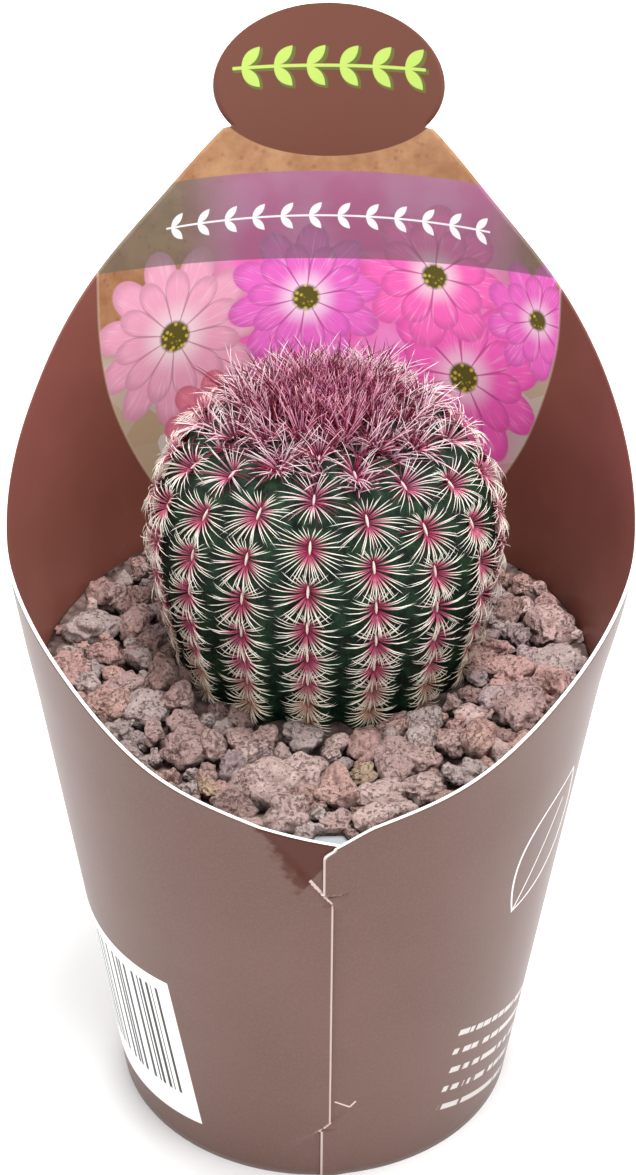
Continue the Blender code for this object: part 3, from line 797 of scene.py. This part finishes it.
def ball_directions(rounds):
    """Even directions and the triangles between them: an icosahedron, split a number of times."""
    shape = bmesh.new()
    bmesh.ops.create_icosphere(shape, subdivisions=rounds, radius=1.0)
    mesh = bpy.data.meshes.new("ball")
    shape.to_mesh(mesh)
    shape.free()
    points = np.empty(3 * len(mesh.vertices), np.float32)
    mesh.vertices.foreach_get("co", points)
    corners = np.empty(len(mesh.loops), np.int32)
    mesh.loops.foreach_get("vertex_index", corners)
    bpy.data.meshes.remove(mesh)
    points = points.astype(float).reshape(-1, 3)
    return points / np.linalg.norm(points, axis=1, keepdims=True), corners.reshape(-1, 3)


def stone_points(seeded, directions, count):
    """Rough stones of unit size. A stone's reach in each direction is the least distance to a set of chip
    planes, blended softly. Sums of long and short waves in random headings roughen it, and round pores with
    random middles are sunk into it."""

    def headings(many):
        drawn = seeded.normal(size=(count, many, 3))
        return drawn / np.linalg.norm(drawn, axis=2, keepdims=True)

    def along(headed):
        return np.einsum("scd,vd->scv", headed, directions)

    depth = seeded.uniform(0.68, 1.02, (count, STONE_CHIPS, 1))
    facing = np.clip(along(headings(STONE_CHIPS)), 0.05, 1.0)
    reach = np.minimum(np.sum((depth / facing) ** -CHIP_SHARP, axis=1) ** (-1 / CHIP_SHARP), 1.15)
    for low, high, many, strength in STONE_WAVES:
        pace = seeded.uniform(low, high, (count, many, 1))
        start = seeded.uniform(0, math.tau, (count, many, 1))
        reach = reach + np.sum(strength / pace * np.cos(along(headings(many) * pace) + start), axis=1)
    size = seeded.uniform(0.10, 0.26, (count, STONE_PORES, 1))
    away = 2 - 2 * along(headings(STONE_PORES))
    sunk = np.sum(0.42 * size * smooth(1 - away / size**2), axis=1)
    return directions[None, :, :] * (reach - np.minimum(sunk, 0.16))[:, :, None]


def loose_stones(seeded, taken):
    """Smaller stones that fill in between those listed: random places, each kept if it is clear enough
    of all before it, of the stem and of the card."""
    kept = []
    for _ in range(LOOSE_STONES):
        half = between(*LOOSE_HALF, seeded.uniform() ** 0.8)
        reach = (sleeve_radius(GRAVEL_TOP) - CARD) / MM - 0.9 * half
        out = reach * math.sqrt(seeded.uniform(0.2, 1.0))
        turn = seeded.uniform(0, math.tau)
        x, y = out * math.sin(turn), -out * math.cos(turn)
        from_stem = math.hypot(x - STEM_AT[0] / MM, y - STEM_AT[1] / MM)
        if from_stem < STEM_AT_GRAVEL / MM + 0.75 * half:
            continue
        others = np.array([row[:3] for row in taken + kept])
        gap = np.hypot(others[:, 0] - x, others[:, 1] - y)
        if np.any(gap < LOOSE_SPACING * (others[:, 2] + half)):
            continue
        depth, height = half * seeded.uniform(0.75, 1.1), half * seeded.uniform(0.5, 0.75)
        kept.append((x, y, half, depth, height, seeded.uniform(0, 360), seeded.integers(0, 7)))
    return kept


def bare_rim(degrees):
    """1 at the front, where the gravel leaves a short piece of the pot's rim bare, and 0 elsewhere."""
    side = np.abs((degrees - BARE_TURN + 180.0) % 360.0 - 180.0)
    return 1 - smooth((side - 2.6) / 2.0)


def heap_height(x, y):
    """Height that the stones lie at, in mm: level, a little lower at the front and at the wall."""
    out = np.hypot(x, y)
    return HEAP_LEVEL + 0.9 * smooth((y + 20.0) / 40.0) - 0.8 * smooth((out - 34.0) / 8.0)


def build_gravel():
    """Stones as scaled and turned rough balls that lie on the heap, and the bed between them, dark with painted
    shade.
    """
    seeded = np.random.default_rng(STONE_SEED)
    table = np.concatenate((SET_STONES, np.array(loose_stones(seeded, [tuple(row) for row in SET_STONES]))))
    by_hand = np.arange(len(table)) < len(SET_STONES)
    front, left = table[:, 1] < FRONT_STONES, table[:, 0] < 0.0
    build_stones("lava_stones_front", table[by_hand & front], seeded, STONE_ROUNDS, 0.0)
    build_stones("lava_stones_left", table[by_hand & ~front & left], seeded, STONE_ROUNDS, 0.0)
    build_stones("lava_stones_right", table[by_hand & ~front & ~left], seeded, STONE_ROUNDS, 0.0)
    build_stones("lava_stones_round", table[~by_hand & left], seeded, LOOSE_ROUNDS, LOOSE_DROP)
    build_stones("lava_stones_loose", table[~by_hand & ~left], seeded, LOOSE_ROUNDS, LOOSE_DROP)
    build_bed()


def build_stones(name, rows, seeded, rounds, drop):
    """One piece of the stones in these rows of the table. The card squeezes those that reach it. The undersides
    are darkened with painted shade, for the shadow in the crevices between stones, and the tints are painted
    lighter to the back and to the right, where the stones lie deeper in the sleeve and get less light."""
    directions, faces = ball_directions(rounds)
    shapes = stone_points(seeded, directions, len(rows)) * rows[:, None, 2:5] * STONE_SCALE
    turn = np.radians(rows[:, 5])[:, None]
    x = shapes[..., 0] * np.cos(turn) - shapes[..., 1] * np.sin(turn) + rows[:, None, 0]
    y = shapes[..., 0] * np.sin(turn) + shapes[..., 1] * np.cos(turn) + rows[:, None, 1]
    lift = -0.15 * rows[:, 4] - drop
    z = shapes[..., 2] + (heap_height(rows[:, 0], rows[:, 1]) + lift)[:, None]
    bare = 2.5 * bare_rim(np.degrees(np.arctan2(x, -y)))
    squeeze = np.minimum(1.0, ((sleeve_radius(z * MM) - CARD) / MM - WALL_CLEAR - bare) / np.hypot(x, y))
    points = np.stack((x * squeeze, y * squeeze, z), axis=-1) * MM
    mesh = new_mesh(name, points, repeat_faces(faces, len(rows), len(directions)))
    tints = STONE_TINTS[rows[:, 6].astype(int)] * seeded.uniform(0.9, 1.1, (len(rows), 1))
    # Painted light: the stones to the back and to the right are lightened, as the sleeve and the stem keep light from
    # them
    tints = tints * between(1.0, 1.30, smooth((rows[:, 1:2] + 26.0) / 30.0))
    tints = tints * between(1.0, 1.16, smooth((rows[:, :1] - 6.0) / 16.0))
    # Painted shade: the undersides of the stones darken, for the shadow in the crevices between them
    underside_shade = between(0.30, 1.0, smooth((directions[:, 2] + 0.35) / 0.75))
    paint(mesh, "Tint", tints[:, None, :] * underside_shade[None, :, None])
    new_piece(name, mesh, "lava_stone", "gravel", finish_lava())


def build_bed():
    """The bed under the stones: a wavy disc that rises at the card, closed below."""
    turn = np.linspace(0, 360, 181)[:-1]
    out = np.linspace(0, 1, 18)[:, None]
    edge = (sleeve_radius(0.0785) - CARD - 0.0002 - 0.0030 * bare_rim(turn))[None, :]
    height = BED_LEVEL + 0.0006 * np.sin(7 * np.radians(turn)) * np.sin(9 * out)
    height = height + 0.0010 * smooth((out - 0.86) / 0.08)
    top = polar(edge * out, turn[None, :], height)
    lip = polar(edge - 0.0002, turn[None, :], 0.0783)
    neck = polar(np.minimum(0.0400, edge - 0.0004), turn[None, :], 0.0782)
    bottom = polar(0.0390 * out[::-1], turn[None, :], 0.0703)
    points = np.concatenate((top, lip, neck, bottom))
    mesh = new_mesh("gravel_bed", points, grid_faces(len(points), len(turn), round_too=True))
    weld(mesh)
    new_piece("gravel_bed", mesh, "lava_stone", "gravel", finish_bed())


def finish_lava():
    finish = Finish("Pitted lava stone", Roughness=0.9, Specular_IOR_Level=0.3)
    where = finish.places()
    tint = finish.painted("Tint")
    broad = finish.noise(where, 420.0, 4.0, 0.6)
    fine = finish.noise(where, 2100.0, 5.0, 0.7)
    pitted = finish.noise(where, 1500.0, 3.0, 0.62)
    edge = finish.noise(where, 210.0, 2.0).spread(0.35, 0.65, 0.36, 0.46)
    pits = (pitted - edge).spread(0.035, -0.045)
    colour = finish.mix(broad.spread(0.35, 0.7), finish.times(tint, (0.84, 0.78, 0.79)), tint)
    colour = finish.mix(fine.spread(0.5, 0.72) * 0.6, colour, finish.times(tint, (1.5, 1.5, 1.5)))
    colour = finish.mix(fine.spread(0.48, 0.3) * 0.55, colour, finish.times(tint, (0.5, 0.42, 0.42)))
    # The pits are darkened with painted shade, besides being sunk by the bump below
    finish.colour(finish.mix(pits * 0.60, colour, finish.times(tint, (0.34, 0.25, 0.25))))
    finish.relief(fine * 0.55 + broad - pits * 0.7, 0.0012)
    return finish.material


def finish_bed():
    finish = Finish("Grit under the stones, with painted shade", Roughness=0.95)
    grit = finish.cells(finish.places(), 650.0)
    # Painted shade: the grit is kept far darker than the stones, for the shadow in the gaps between them
    shaded_greys = (0.0, (0.26, 0.175, 0.155)), (0.5, (0.13, 0.082, 0.072)), (1.0, (0.03, 0.018, 0.016))
    finish.colour(finish.ramp(grit, *shaded_greys))
    finish.relief(grit, 0.0006, 0.9)
    return finish.material


# Stem


def root_radius(height):
    """Radius of the stem's buried end, which narrows downwards from the gravel to its foot."""
    return between(STEM_AT_GRAVEL, ROOT_RADIUS, smooth((BED_TOP - height) / (BED_TOP - STEM_FOOT)))


def stem_profile(tilt):
    """Radius of the crests, height and share of the rib depth, at tilts from -90 at the foot to 90 on top.
    The dome's radius goes with a power of the cosine and its height with the same power of the sine."""
    turn = np.radians(np.clip(tilt, 0.0, 90.0))
    dome = STEM_RADIUS * np.clip(np.cos(turn), 0.0, 1.0) ** (2 / DOME_POWER)
    top = between(STEM_WIDEST, STEM_TOP, np.sin(turn) ** (2 / DOME_POWER))
    top = top - CROWN_DIMPLE * smooth(1 - dome / CROWN_RADIUS)
    low = between(STEM_WIDEST, STEM_FOOT, np.clip(-tilt, 0.0, 90.0) / 90)
    down = np.clip((STEM_WIDEST - low) / (STEM_WIDEST - BED_TOP), 0.0, 1.0)
    waist = np.where(low > BED_TOP, between(STEM_RADIUS, STEM_AT_GRAVEL, down**WAIST_POWER), root_radius(low))
    fade = np.where(low > BED_TOP, 1.0, (low - STEM_FOOT) / (BED_TOP - STEM_FOOT))
    upper = tilt >= 0
    return np.where(upper, dome, waist), np.where(upper, top, low), np.where(upper, smooth(dome / RIB_FADE), fade)


def rib_wave(degrees):
    """0 along the crests of the ribs and 1 along the valleys between them."""
    return np.abs(np.sin(np.radians(RIBS * (degrees - FIRST_RIB) / 2)))


def stem_point(degrees, tilt):
    """A point of the ribbed surface: round crests, with grooves between them that narrow to a line."""
    radius, height, depth = stem_profile(tilt)
    return polar(radius - RIB_DEPTH * depth * rib_wave(degrees) ** 2.2, degrees, height) + STEM_AT


def areole_places():
    """Angle, tilt and climb of every areole. They climb each rib, further apart higher up, and step by half
    a pitch from rib to rib."""
    tilts = np.linspace(-90.0 * (STEM_WIDEST - LOWEST_AREOLE) / (STEM_WIDEST - STEM_FOOT), 89.8, 2400)
    radius, height, _ = stem_profile(tilts)
    run = np.concatenate(([0.0], np.cumsum(np.hypot(np.diff(radius), np.diff(height)))))
    found = []
    for rib in range(RIBS):
        along = AREOLE_PITCH[0] / 2 * (rib % 2)
        while along < run[-1]:
            tilt = np.interp(along, run, tilts)
            here_radius, here_height, _ = stem_profile(tilt)
            if here_radius < LAST_AREOLE_RADIUS:
                break
            climb = (here_height - LOWEST_AREOLE) / (STEM_TOP - LOWEST_AREOLE)
            found.append((FIRST_RIB + 360.0 * rib / RIBS, tilt, climb, here_radius))
            broad = min(1.0, here_radius / BROAD_RADIUS)
            along += between(*AREOLE_PITCH, climb) * between(CROWN_PITCH, 1.0, broad)
    return np.array(found)


def frames_on_stem(degrees, tilt):
    """Place, outward, upward and sideways direction on the crests at these angles and tilts."""
    place = stem_point(degrees, tilt)
    upward = stem_point(degrees, np.minimum(tilt + 0.5, 89.9)) - stem_point(degrees, tilt - 0.5)
    upward /= np.linalg.norm(upward, axis=-1, keepdims=True)
    outward = np.cross(polar(1.0, degrees + 90.0, 0.0), upward)
    outward /= np.linalg.norm(outward, axis=-1, keepdims=True)
    return place, outward, upward, np.cross(upward, outward)


def build_stem():
    """The ribbed barrel: angle along the columns, tilt along the rows, closed at both ends."""
    tilts = np.concatenate((np.linspace(-90, 0, 70)[:-1], 90 * np.linspace(0, 1, 60) ** 0.9))
    degrees = np.linspace(0, 360, RIBS * 14 + 1)[:-1] + FIRST_RIB
    points = stem_point(degrees[None, :], tilts[:, None])
    foot = np.broadcast_to(STEM_AT + (0, 0, STEM_FOOT), points[:1].shape)
    points = np.concatenate((foot, points))
    mesh = new_mesh("stem", points, grid_faces(len(points), len(degrees), round_too=True))
    valley = np.broadcast_to(rib_wave(degrees)[None, :], points.shape[:2])
    paint(mesh, "Valley", np.repeat(valley[:, :, None], 3, axis=2))
    weld(mesh)
    new_piece("stem", mesh, "cactus_skin", "cactus_stem", finish_skin())


def finish_skin():
    finish = Finish("Green cactus skin", Roughness=0.6, Specular_IOR_Level=0.22)
    where = finish.places()
    valley = finish.painted("Valley")
    mottle = finish.noise(where, 420.0, 4.0, 0.6)
    dots = finish.cells(where, 2600.0)
    # Painted shade: the greens are kept near black for the shadow that the dense spines cast on the skin
    green = finish.mix(mottle.spread(0.40, 0.66), (0.0035, 0.010, 0.0055), (0.014, 0.045, 0.017))
    deep = finish.mix(mottle.spread(0.38, 0.66), (0.003, 0.012, 0.007), (0.011, 0.042, 0.022))
    green = finish.mix(valley.spread(0.55, 1.0) * 0.8, green, deep)
    finish.colour(finish.mix(dots.inside(0.2, 0.1) * 0.2, green, (0.10, 0.16, 0.11)))
    finish.relief(mottle, 0.0003, 0.6)
    return finish.material


# Spines


def spine_tubes(roots, flat, outward, length, radius, rise, bend):
    """Tapered, curved needles. A needle sets out at its rise above the surface and turns by its bend on the
    way to its tip, so its path is the running sum of its heading. Rings of points round the path narrow with
    the square root of what is left, and a last point closes the tip."""
    count = len(roots)
    steps = np.diff(SPINE_STATIONS)
    middle = SPINE_STATIONS[:-1] + steps / 2
    angle = rise[:, None] + bend[:, None] * middle[None, :]
    heading = flat[:, None, :] * np.cos(angle)[..., None] + outward[:, None, :] * np.sin(angle)[..., None]
    path = np.concatenate((np.zeros((count, 1, 3)), np.cumsum(heading * steps[None, :, None], axis=1)), axis=1)
    path = roots[:, None, :] + path * length[:, None, None]
    across = np.cross(flat, outward)
    across /= np.linalg.norm(across, axis=1, keepdims=True)
    normal = -flat * np.sin(rise)[:, None] + outward * np.cos(rise)[:, None]
    turn = np.arange(SPINE_SIDES) * math.tau / SPINE_SIDES + math.pi / 2
    thick = radius[:, None] * (1 - SPINE_STATIONS[None, :-1]) ** 0.5
    ring = across[:, None, :] * np.cos(turn)[None, :, None] + normal[:, None, :] * np.sin(turn)[None, :, None]
    rings = path[:, :-1, None, :] + ring[:, None, :, :] * thick[..., None, None]
    points = np.concatenate((rings.reshape(count, -1, 3), path[:, -1:, :]), axis=1)
    stations = len(SPINE_STATIONS) - 1
    tube = grid_faces(stations, SPINE_SIDES, round_too=True)
    last = (stations - 1) * SPINE_SIDES + np.arange(SPINE_SIDES)
    tip = np.stack((last, np.roll(last, -1), np.full(SPINE_SIDES, stations * SPINE_SIDES)), axis=-1)
    base = np.arange(SPINE_SIDES)[::-1][None, :]
    ends = np.concatenate((tip, base))
    along = np.concatenate((np.repeat(SPINE_STATIONS[:-1], SPINE_SIDES), [1.0]))
    tubes, ends = (repeat_faces(faces, count, points.shape[1]) for faces in (tube, ends))
    return points.reshape(-1, 3), tubes, ends, along


def blend_along(along, stops, colours):
    """A colour at each place along the needles, between colours given for each needle at the stops."""
    colours = np.stack(colours, axis=1)
    out = np.zeros((colours.shape[0], len(along), 3))
    for place, share in enumerate(along):
        i = min(np.searchsorted(stops, share, "right") - 1, len(stops) - 2)
        part = (share - stops[i]) / (stops[i + 1] - stops[i])
        out[:, place] = between(colours[:, i], colours[:, i + 1], part)
    return out


def build_combs():
    """Each areole's comb: needles that fan from both sides of its slit and recurve on to the stem. Near the
    crown they stand up more, and are redder. Young, heart and old are shares: how near an areole is to the
    crown, to the crown's middle, and to the gravel."""
    seeded = np.random.default_rng(SPINE_SEED)
    degrees, tilt, climb, radius = areole_places().T
    place, outward, upward, sideways = frames_on_stem(degrees, tilt)
    young = smooth((YOUNG_RADIUS - radius) / 0.0100) * (tilt > 0)
    heart = smooth((HEART_RADIUS - radius) / 0.0055) * (tilt > 0)
    old = smooth((OLD_CLIMB - climb) / 0.26)
    count = len(degrees)
    many = (count, COMB)
    # Angle of each needle from straight up, on both sides
    fan = between(14, 177, np.linspace(0, 1, COMB // 2) ** 0.86)
    angle = np.radians(np.concatenate((fan, -fan)))[None, :] + seeded.normal(0, 0.05, many)
    aside, above = np.sin(angle)[..., None], np.cos(angle)[..., None]
    slit = between(0.00105, 0.0008, young)[:, None, None]
    roots = place[:, None, :] + sideways[:, None, :] * (aside * 0.00022) + upward[:, None, :] * (above * slit)
    roots = roots + outward[:, None, :] * 0.00005
    flat = sideways[:, None, :] * aside + upward[:, None, :] * above
    length = np.interp(climb, *SPINE_LENGTHS)[:, None] * seeded.uniform(0.88, 1.08, many)
    share = np.interp(np.degrees(np.abs(angle)), *FAN_LENGTHS)
    length = length * between(share, 1.0, 0.7 * young[:, None])
    rise = np.radians(between(between(48.0, 60.0, young), 72.0, heart))[:, None] + seeded.normal(0, 0.10, many)
    bend = -np.radians(between(between(86.0, 42.0, young), 16.0, heart))[:, None]
    bend = bend * between(0.7, 1.0, np.abs(aside[..., 0])) + seeded.normal(0, 0.10, many)
    facing = np.broadcast_to(outward[:, None, :], flat.shape)
    thick = SPINE_RADIUS * seeded.uniform(0.85, 1.1, count * COMB)
    points, tube, ends, along = spine_tubes(
        roots.reshape(-1, 3), flat.reshape(-1, 3), facing.reshape(-1, 3), length.ravel(), thick, rise.ravel(),
        bend.ravel(),
    )
    mesh = new_mesh("comb_spines", points, tube, ends)
    shade = seeded.uniform(0.88, 1.06, (*many, 1))
    ages = [np.broadcast_to(weight[:, None, None], (*many, 1)) for weight in (old, young, heart)]
    dark = (seeded.uniform(0, 1, (*many, 1)) < 0.5 * ages[1]).astype(float)

    def tone(colour, *later):
        colour = np.array(colour)
        for weight, other in zip((*ages, dark), later):
            colour = between(colour, np.array(other), weight)
        return (colour * shade).reshape(-1, 3)

    base, middle, tip = (tone(*colours) for colours in COMB_TONES)
    paint(mesh, "Tint", blend_along(along, (0.0, 0.34, 0.56, 1.0), (base, middle, tip, tip)))
    new_piece("comb_spines", mesh, "cactus_skin", "cactus_stem", finish_spines())
    build_wool(place, outward, upward, sideways, young, old)


def build_wool(place, outward, upward, sideways, young, old):
    """A long woolly cushion in each areole: a ball stretched along the rib."""
    directions, faces = ball_directions(2)
    half_width, half_length = between(0.00024, 0.00018, old), between(0.00115, 0.0009, young)
    size = np.stack((half_width, half_length, np.full(len(place), 0.00035)), axis=-1)
    across, along, off = np.moveaxis(directions[None] * size[:, None, :], -1, 0)[..., None]
    points = place[:, None, :] + sideways[:, None, :] * across + upward[:, None, :] * along
    points = points + outward[:, None, :] * (off + 0.00012)
    mesh = new_mesh("areole_wool", points, repeat_faces(faces, len(place), len(directions)))
    colour = between(np.array((0.84, 0.70, 0.62)), np.array((0.56, 0.33, 0.23)), old[:, None, None])
    colour = between(colour, np.array((0.80, 0.55, 0.62)), young[:, None, None])
    paint(mesh, "Tint", np.broadcast_to(colour, points.shape))
    new_piece("areole_wool", mesh, "cactus_skin", "cactus_stem", finish_wool())


def build_crown():
    """The young needles round the tip, in small tufts whose middles lie on a sunflower spiral over a disc.
    Each tuft fans out all round, and the tufts lean outwards with the distance from the middle. Some needles
    are dark all along, more of them at the back, and the rest are paler towards the rim."""
    seeded = np.random.default_rng(SPINE_SEED + 1)
    count = CROWN_NEEDLES
    tuft = np.arange(count) % CROWN_TUFTS
    share = (tuft + 0.5) / CROWN_TUFTS
    out = np.clip(0.0170 * share**0.58 + seeded.normal(0, CROWN_SCATTER, count), 0.0003, CROWN_REACH)
    degrees = SUNFLOWER_TURN * tuft + np.degrees(seeded.normal(0, CROWN_SCATTER, count) / out)
    table = np.linspace(0, 89.9, 900)
    tilt = np.interp(-out, -stem_profile(table)[0], table)
    place, outward, upward, sideways = frames_on_stem(degrees, tilt)
    spin = seeded.uniform(-2.6, 2.6, count)[:, None]
    flat = -upward * np.cos(spin) + sideways * np.sin(spin)
    flat /= np.linalg.norm(flat, axis=1, keepdims=True)
    edge = out / CROWN_REACH
    back = 0.5 * (1 - np.cos(np.radians(degrees)))
    rise = np.radians(between(80.0, 52.0, edge)) + seeded.normal(0, 0.24, count)
    bend = -np.radians(between(14.0, 26.0, edge)) + seeded.normal(0, 0.14, count)
    length = between(0.0058, 0.0064, edge) * seeded.uniform(0.66, 1.20, count) * (1 + 0.40 * back)
    radius = CROWN_SPINE_RADIUS * seeded.uniform(0.75, 1.15, count)
    points, tube, ends, along = spine_tubes(place - outward * 0.0006, flat, outward, length, radius, rise, bend)
    mesh = new_mesh("crown_spines", points, tube, ends)
    back = back[:, None]
    dark = (seeded.uniform(0, 1, (count, 1)) < 0.33 + 0.27 * back * smooth(edge / 0.3)[:, None]).astype(float)
    shade = seeded.uniform(0.82, 1.10, (count, 1)) * between(1.0, 0.94, back)
    rim = smooth((edge - 0.34) / 0.42)[:, None]

    def tone(core, pale, dusky=None):
        colour = between(np.array(core), np.array(pale), rim)
        return shade * (colour if dusky is None else between(colour, np.array(dusky), dark))

    base = tone((0.20, 0.0015, 0.055), (0.42, 0.07, 0.18))
    middle = tone((0.42, 0.010, 0.16), (0.72, 0.38, 0.50), (0.20, 0.004, 0.045))
    tip = tone((0.66, 0.20, 0.40), (0.92, 0.80, 0.80), (0.085, 0.003, 0.016))
    paint(mesh, "Tint", blend_along(along, (0.0, 0.35, 0.7, 1.0), [base, middle, between(middle, tip, 0.6), tip]))
    new_piece("crown_spines", mesh, "cactus_skin", "cactus_stem", finish_spines())


def finish_spines():
    finish = Finish("Spine", Roughness=0.45, Subsurface_Weight=0.15, Subsurface_Scale=0.0004)
    tint = finish.painted("Tint")
    fleck = finish.noise(finish.places(), 1500.0, 2.0)
    finish.colour(finish.mix(fleck * 0.25, tint, finish.times(tint, (0.7, 0.62, 0.62))))
    return finish.material


def finish_wool():
    finish = Finish("Areole wool", Roughness=0.9)
    tint = finish.painted("Tint")
    hair = finish.noise(finish.places(), 5200.0, 3.0)
    finish.colour(finish.mix(hair, finish.times(tint, (0.75, 0.7, 0.68)), tint))
    finish.relief(hair, 0.0002, 0.8)
    return finish.material


# Setting


def build_setting():
    """Pale floor, soft studio lights and the camera."""
    corners = FLOOR_REACH * np.array([(-1.0, -1.0, 0.0), (1.0, -1.0, 0.0), (1.0, 1.0, 0.0), (-1.0, 1.0, 0.0)])
    mesh = new_mesh("floor", corners, np.array([[0, 1, 2, 3]]))
    floor = new_object("floor", mesh)
    paper = Finish("White paper floor", Roughness=0.8)
    paper.colour((0.94, 0.94, 0.94))
    mesh.materials.append(paper.material)
    world = bpy.data.worlds.new("Studio")
    world.use_nodes = True
    sky = world.node_tree.nodes["Background"]
    sky.inputs[0].default_value = (1.0, 1.0, 1.0, 1.0)
    sky.inputs[1].default_value = SKY_STRENGTH
    bpy.context.scene.world = world
    for name, place, size, power in LIGHTS:
        lamp = bpy.data.lights.new(name, "AREA")
        lamp.size = size
        lamp.energy = power
        light = new_object(name, lamp)
        light.location = place
        light.rotation_euler = (VIEW_AIM - light.location).to_track_quat("-Z", "Y").to_euler()
    lens = bpy.data.cameras.new("Camera")
    lens.lens = LENS
    lens.sensor_width = SENSOR
    lens.clip_start = 0.01
    lens.clip_end = 20.0
    camera = new_object("Camera", lens)
    elevation = math.radians(VIEW_ELEVATION)
    back = Vector((0.0, -math.cos(elevation), math.sin(elevation)))
    aimed = (-back).to_track_quat("-Z", "Y").to_matrix().to_4x4()
    roll = Matrix.Rotation(math.radians(VIEW_ROLL), 4, "Z")
    camera.matrix_world = Matrix.Translation(VIEW_AIM + back * VIEW_DISTANCE) @ aimed @ roll
    bpy.context.scene.camera = camera
    bpy.context.scene.view_settings.view_transform = "Standard"


build_setting()
build_sleeve()
build_gravel()
build_stem()
build_combs()
build_crown()
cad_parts["pot"].data.materials[0] = finish_pot()
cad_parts["soil"].data.materials[0] = finish_soil()
